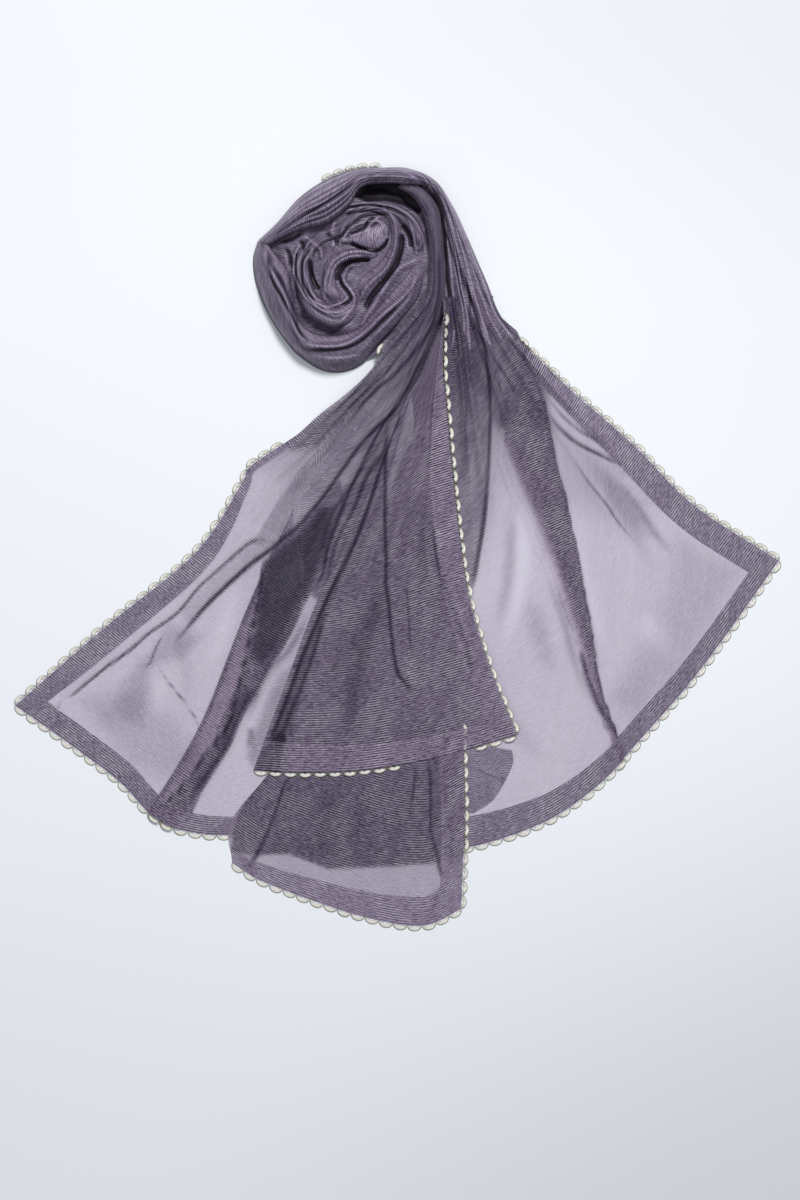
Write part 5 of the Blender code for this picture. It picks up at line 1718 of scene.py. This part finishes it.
def inner_folds():
    edge = smooth_line(LINING_EDGE + LINING_EDGE[:1], step=2.0)
    edge = read_off(edge, np.arange(len(edge)), np.linspace(0, len(edge) - 1, SPOKES + 1))
    out = np.linspace(0.02, 1.0, RINGS)
    plan = np.array(CORE_MIDDLE) + out[:, None, None] * (edge - CORE_MIDDLE)[None]
    x, y = plan[..., 0], plan[..., 1]
    away = np.hypot((x - CORE_MIDDLE[0]) / CORE_REACH[0], (y - CORE_MIDDLE[1]) / CORE_REACH[1])
    # slow waves that cross each other, and a quicker one
    rolling = 0.7 * np.sin(x / 6.1 + y / 9.7) * np.sin(y / 7.3 - x / 17) + 0.4 * np.sin(x / 3.7 - y / 5.1)
    z = CORE_HEIGHT + rolling - RIM_DROP * smooth_step((away - 0.84) / 0.22)
    hollow = smooth_step(0.5 + depth_inside(plan, np.array(HOLLOW, float)) / 8)
    z = np.maximum(z - HOLLOW_DEPTH * hollow, 1.2)
    # the extra plies in the hollow are painted shade
    return SimpleNamespace(grid=np.dstack([plan, z]), plies=6.2 + HOLLOW_SHADE_PLIES * hollow,
                           along=y + 7 * np.sin(x / 19), across=x + 7 * np.sin(y / 23))


# %% Shade in the valleys of the folds
SHADE_REACH = 4


def deepen(cloth, valleys, crests):
    """Less light reaches a valley than a crest, as if more layers lay there."""
    sunk = over_window(np.mean, cloth.grid[..., 2], SHADE_REACH) - cloth.grid[..., 2]
    cloth.plies += valleys * np.maximum(sunk, 0) - crests * np.maximum(-sunk, 0)
    cloth.plies = np.clip(cloth.plies, SEVERAL_PLIES, MOST_PLIES)


lining = inner_folds()
press(lining, RING_PLEATS)
deepen(lining, valleys=4.5, crests=3.6)
core_piece = add_cloth("rosette_inner_folds", lining, GATHERED, "deep_cloth", "rosette_core")

# %% [markdown]
# ### The bands
#
# Each coil that shows is a narrow stretch of cloth of its own, lofted like a wing. The shoulder and the
# outer wrap are the two ends of the strand that holds the rest together.

# %% Sections of the shoulder and the outer wrap
SHOULDER = table(
    SECTION,
    (-127, 303, -138, 308, 14, 3, 9, 0.6),
    (-108, 313, -119, 326, 14, 2, 14, 1.2),
    (-88, 319, -98, 350, 14, 1, 19, 2),
    (-68, 324, -76, 366, 14, 1, 22, 2.6),
    (-48, 340, -54, 376, 14, 1, 22, 2.6),
    (-34, 360, -36, 380, 15, 2, 20, 1.8),
    (-12, 364, -12, 381, 15, 3, 18, 1.4),
    (8, 363, 13, 380, 15, 3, 17, 1.4),
    (30, 360, 39, 368, 15, 5, 14, 1),
    (44, 341, 57, 342, 14, 4, 15, 1.2),
    (48, 316, 69, 317, 13, 2, 17, 1.8),
    (50, 288, 82, 287, 12, 1, 17, 2.6),
    (52, 262, 92, 264, 10, 0, 15, 3.2),
    (56, 233, 103, 236, 8, 0, 13, 3.6),
    (52, 212, 118, 217, 5, -1, 10, 4),
    (48, 188, 136, 199, 0, -5, 5, 4.4),
)

OUTER_WRAP = table(
    SECTION,
    (-127.4, 302.2, -138.4, 307.2, 14, 3, 9, 0.6),
    (-116, 288, -143, 291, 12, 0, 15, 1.6),
    (-106, 274, -142, 273, 12, 0, 17, 2.2),
    (-104, 257, -137, 255, 12, 0, 17, 2.2),
    (-101, 240, -129, 237, 12, 0, 17, 2.2),
    (-94, 224, -115, 214, 12, 0, 17, 2.2),
    (-80, 215, -96, 192, 12, 0, 16, 2.2),
    (-58, 213, -68, 177, 12, 0, 14, 2.4),
    (-38, 220, -38, 182, 12, 1, 12, 2.4),
    (-22, 236, -12, 211, 12, 10, 8, 1.6),
    (-6, 254, 8, 233, 12, 12, 7, 1.2),
    (8, 270, 23, 253, 12, 12, 6, 1),
    (19, 284, 28, 275, 12, 12, 3, 0.4),
)

# %% Sections of the coils
MIDDLE_COIL = table(
    SECTION,
    (14, 294, 28, 290, 12, 12, 2, 0.4),
    (15, 310, 28, 312, 12, 12, 4, 1),
    (6, 324, 18, 332, 12, 12, 4, 1.4),
    (-12, 333, -6, 346, 12, 12, 4, 1.6),
    (-35, 330, -35, 343, 12, 12, 4, 1.6),
    (-54, 313, -58, 323, 12, 12, 4, 1.2),
    (-73, 304, -80, 314, 12, 12, 4, 1),
    (-83, 291, -98, 296, 12, 12, 5, 1.4),
    (-84, 274, -101, 274, 12, 12, 6, 1.8),
    (-81, 258, -98, 251, 12, 12, 6, 1.8),
    (-72, 247, -86, 231, 12, 12, 6, 1.6),
    (-59, 240, -62, 220, 12, 12, 5, 1.4),
    (-49, 245, -42, 230, 12, 12, 4, 0.8),
    (-46, 252, -36, 246, 12, 12, 2, 0.4),
)

INNER_COIL = table(
    SECTION,
    (-18, 338, -10, 344, 12, 12, 1, 0.2),
    (-9, 330, 0, 334, 12, 12, 3, 0.6),
    (-5, 318, 5, 318, 12, 12, 4, 0.8),
    (-6, 303, 4, 301, 12, 12, 5, 0.8),
    (-13, 289, -1, 283, 12, 12, 5, 0.8),
    (-24, 279, -12, 268, 12, 12, 5, 0.8),
    (-37, 268, -25, 254, 12, 12, 4, 0.6),
    (-44, 256, -32, 242, 12, 12, 1, 0.2),
)

PETAL = table(
    SECTION,
    (-58, 303, -56, 307, 12, 12, 0.5, 0),
    (-49, 305, -47, 312, 12, 12, 3, 0),
    (-38, 301, -37, 316, 12, 12, 5, 0.3),
    (-27, 299, -26, 321, 12, 12, 6, 0.3),
    (-17, 300, -14, 325, 12, 12, 5, 0.3),
    (-8, 308, -8, 318, 12, 12, 1.5, 0.1),
)

HEART = table(
    SECTION,
    (-66, 244, -52, 247, 12, 12, 3, 0.3),
    (-72, 256, -58, 258, 12, 12, 5, 0.6),
    (-73, 270, -60, 269, 12, 12, 5, 0.6),
    (-70, 286, -59, 279, 12, 12, 5, 0.6),
    (-55, 297, -49, 286, 12, 12, 5, 0.6),
    (-34, 299, -32, 288, 12, 12, 4, 0.5),
    (-14, 300, -13, 292, 12, 12, 1, 0.2),
)

# %% Folds of the bands
SHOULDER_FOLDS = table(
    FOLD, (0.10, 0.08, 1, 0.03, 2), (0.20, 0.24, 0.7, 0.022, 2), (0.33, 0.30, 1.1, 0.03, 2),
    (0.47, 0.52, 0.8, 0.025, 2), (0.60, 0.57, 1, 0.03, 2), (0.71, 0.75, 0.6, 0.02, 2),
    (0.88, 0.90, 0.9, 0.03, 2))
BAND_FOLDS = table(
    FOLD, (0.14, 0.10, 0.4, 0.06, 2), (0.42, 0.38, 0.4, 0.08, 2), (0.70, 0.66, 0.3, 0.08, 2))
COIL_FOLDS = table(
    FOLD, (0.22, 0.26, 0.8, 0.06, 2), (0.46, 0.42, 0.9, 0.05, 2), (0.66, 0.70, 0.7, 0.06, 2),
    (0.84, 0.80, 0.6, 0.05, 2))
ONE_FOLD = table(FOLD, (0.46, 0.52, 1.5, 0.16, 2), (0.74, 0.70, 0.6, 0.05, 2))
print("folds on the shoulder:", len(SHOULDER_FOLDS.at))

# %% What is laid in each band, from the outside in
BANDS = (
    ("shoulder", SHOULDER, SHOULDER_FOLDS, TOP_PLEATS + NECK_PLEATS, dict(plies=4.9, turn=0.2, rests_at=0.05)),
    ("outer_wrap", OUTER_WRAP, BAND_FOLDS, WRAP_PLEATS, dict(plies=5.8, turn=1.1)),
    ("middle_coil", MIDDLE_COIL, COIL_FOLDS, RING_PLEATS,
     dict(plies=6, turn=1.9, dips=(5, 5), dive=22)),
    ("inner_coil", INNER_COIL, NO_FOLDS, RING_PLEATS, dict(plies=5.8, turn=2.5, dips=(4, 5), dive=16)),
    # the petal has fewer plies, which paints its face lighter where it is lit
    ("petal", PETAL, NO_FOLDS, RING_PLEATS, dict(plies=4.4, turn=3.3, dips=(3, 3), dive=8)),
    ("heart", HEART, NO_FOLDS, RING_PLEATS, dict(plies=5.6, turn=4.2, dips=(4, 4), dive=14)),
)

bands = {}
for name, sections, folds, pleats, more in BANDS:
    band = loft(run_of(sections, folds, row_step=1.5, column_step=0.8, **more))
    press(band, pleats)
    deepen(band, valleys=3.0, crests=2.4 if name == "shoulder" else 2.0)
    bands[name] = (band, add_cloth(name + "_cloth", band, GATHERED, "rosette_cloth", name))

# %% [markdown]
# A short length of lace shows along the top of the shoulder. Its scallops are a little smaller, because the
# edge is eased round a bend there.

# %% The lace on the shoulder
EASED_PITCH = 12.5

edge = bands["shoulder"][0].grid[:, -1]
showing = (edge[:, 1] > 340) & (abs(edge[:, 0] + 44) < 30)
shoulder_lace = lace_along("shoulder_lace", edge[showing], np.array([*CORE_MIDDLE, 0.0]), EASED_PITCH)

# %% Put the patterns away
for pattern in (scallop, stitch):
    bpy.data.objects.remove(pattern, do_unlink=True)

# %% [markdown]
# ## What each sheet was cut to
#
# Every sheet is measured along its own rows and columns, which is the size it would have laid out flat.

# %% Measure a sheet
def area_of(grid):
    one = np.cross(grid[1:, :-1] - grid[:-1, :-1], grid[:-1, 1:] - grid[:-1, :-1])
    two = np.cross(grid[1:, :-1] - grid[1:, 1:], grid[:-1, 1:] - grid[1:, 1:])
    return (np.linalg.norm(one, axis=2).sum() + np.linalg.norm(two, axis=2).sum()) / 2


def cut_of(grid):
    """The flat (width, length) that the sheet was cut to, and its area, in metres."""
    width = np.linalg.norm(np.diff(grid, axis=1), axis=2).sum(axis=1).max()
    length = np.linalg.norm(np.diff(grid, axis=0), axis=2).sum(axis=0).max()
    return (width * MM, length * MM), area_of(grid) * MM * MM


def declare(piece, cloth, with_pieces=()):
    (width, length), area = cut_of(cloth.grid)
    print(f"{piece.name}: {width:.3f} x {length:.3f} m, {area:.4f} m2")


declare(hidden_piece, hidden)
declare(left_wing_piece, left_wing, trims["left_wing"])
declare(right_wing_piece, right_wing, trims["right_wing"])
declare(peeking_piece, peeking)
declare(lower_piece, lower_panel,
        trims["lower_panel"])
declare(front_piece, front_panel, trims["front_panel"])
declare(core_piece, lining)
for name, (band, piece) in bands.items():
    declare(piece, band, [shoulder_lace] if name == "shoulder" else [])

# %% [markdown]
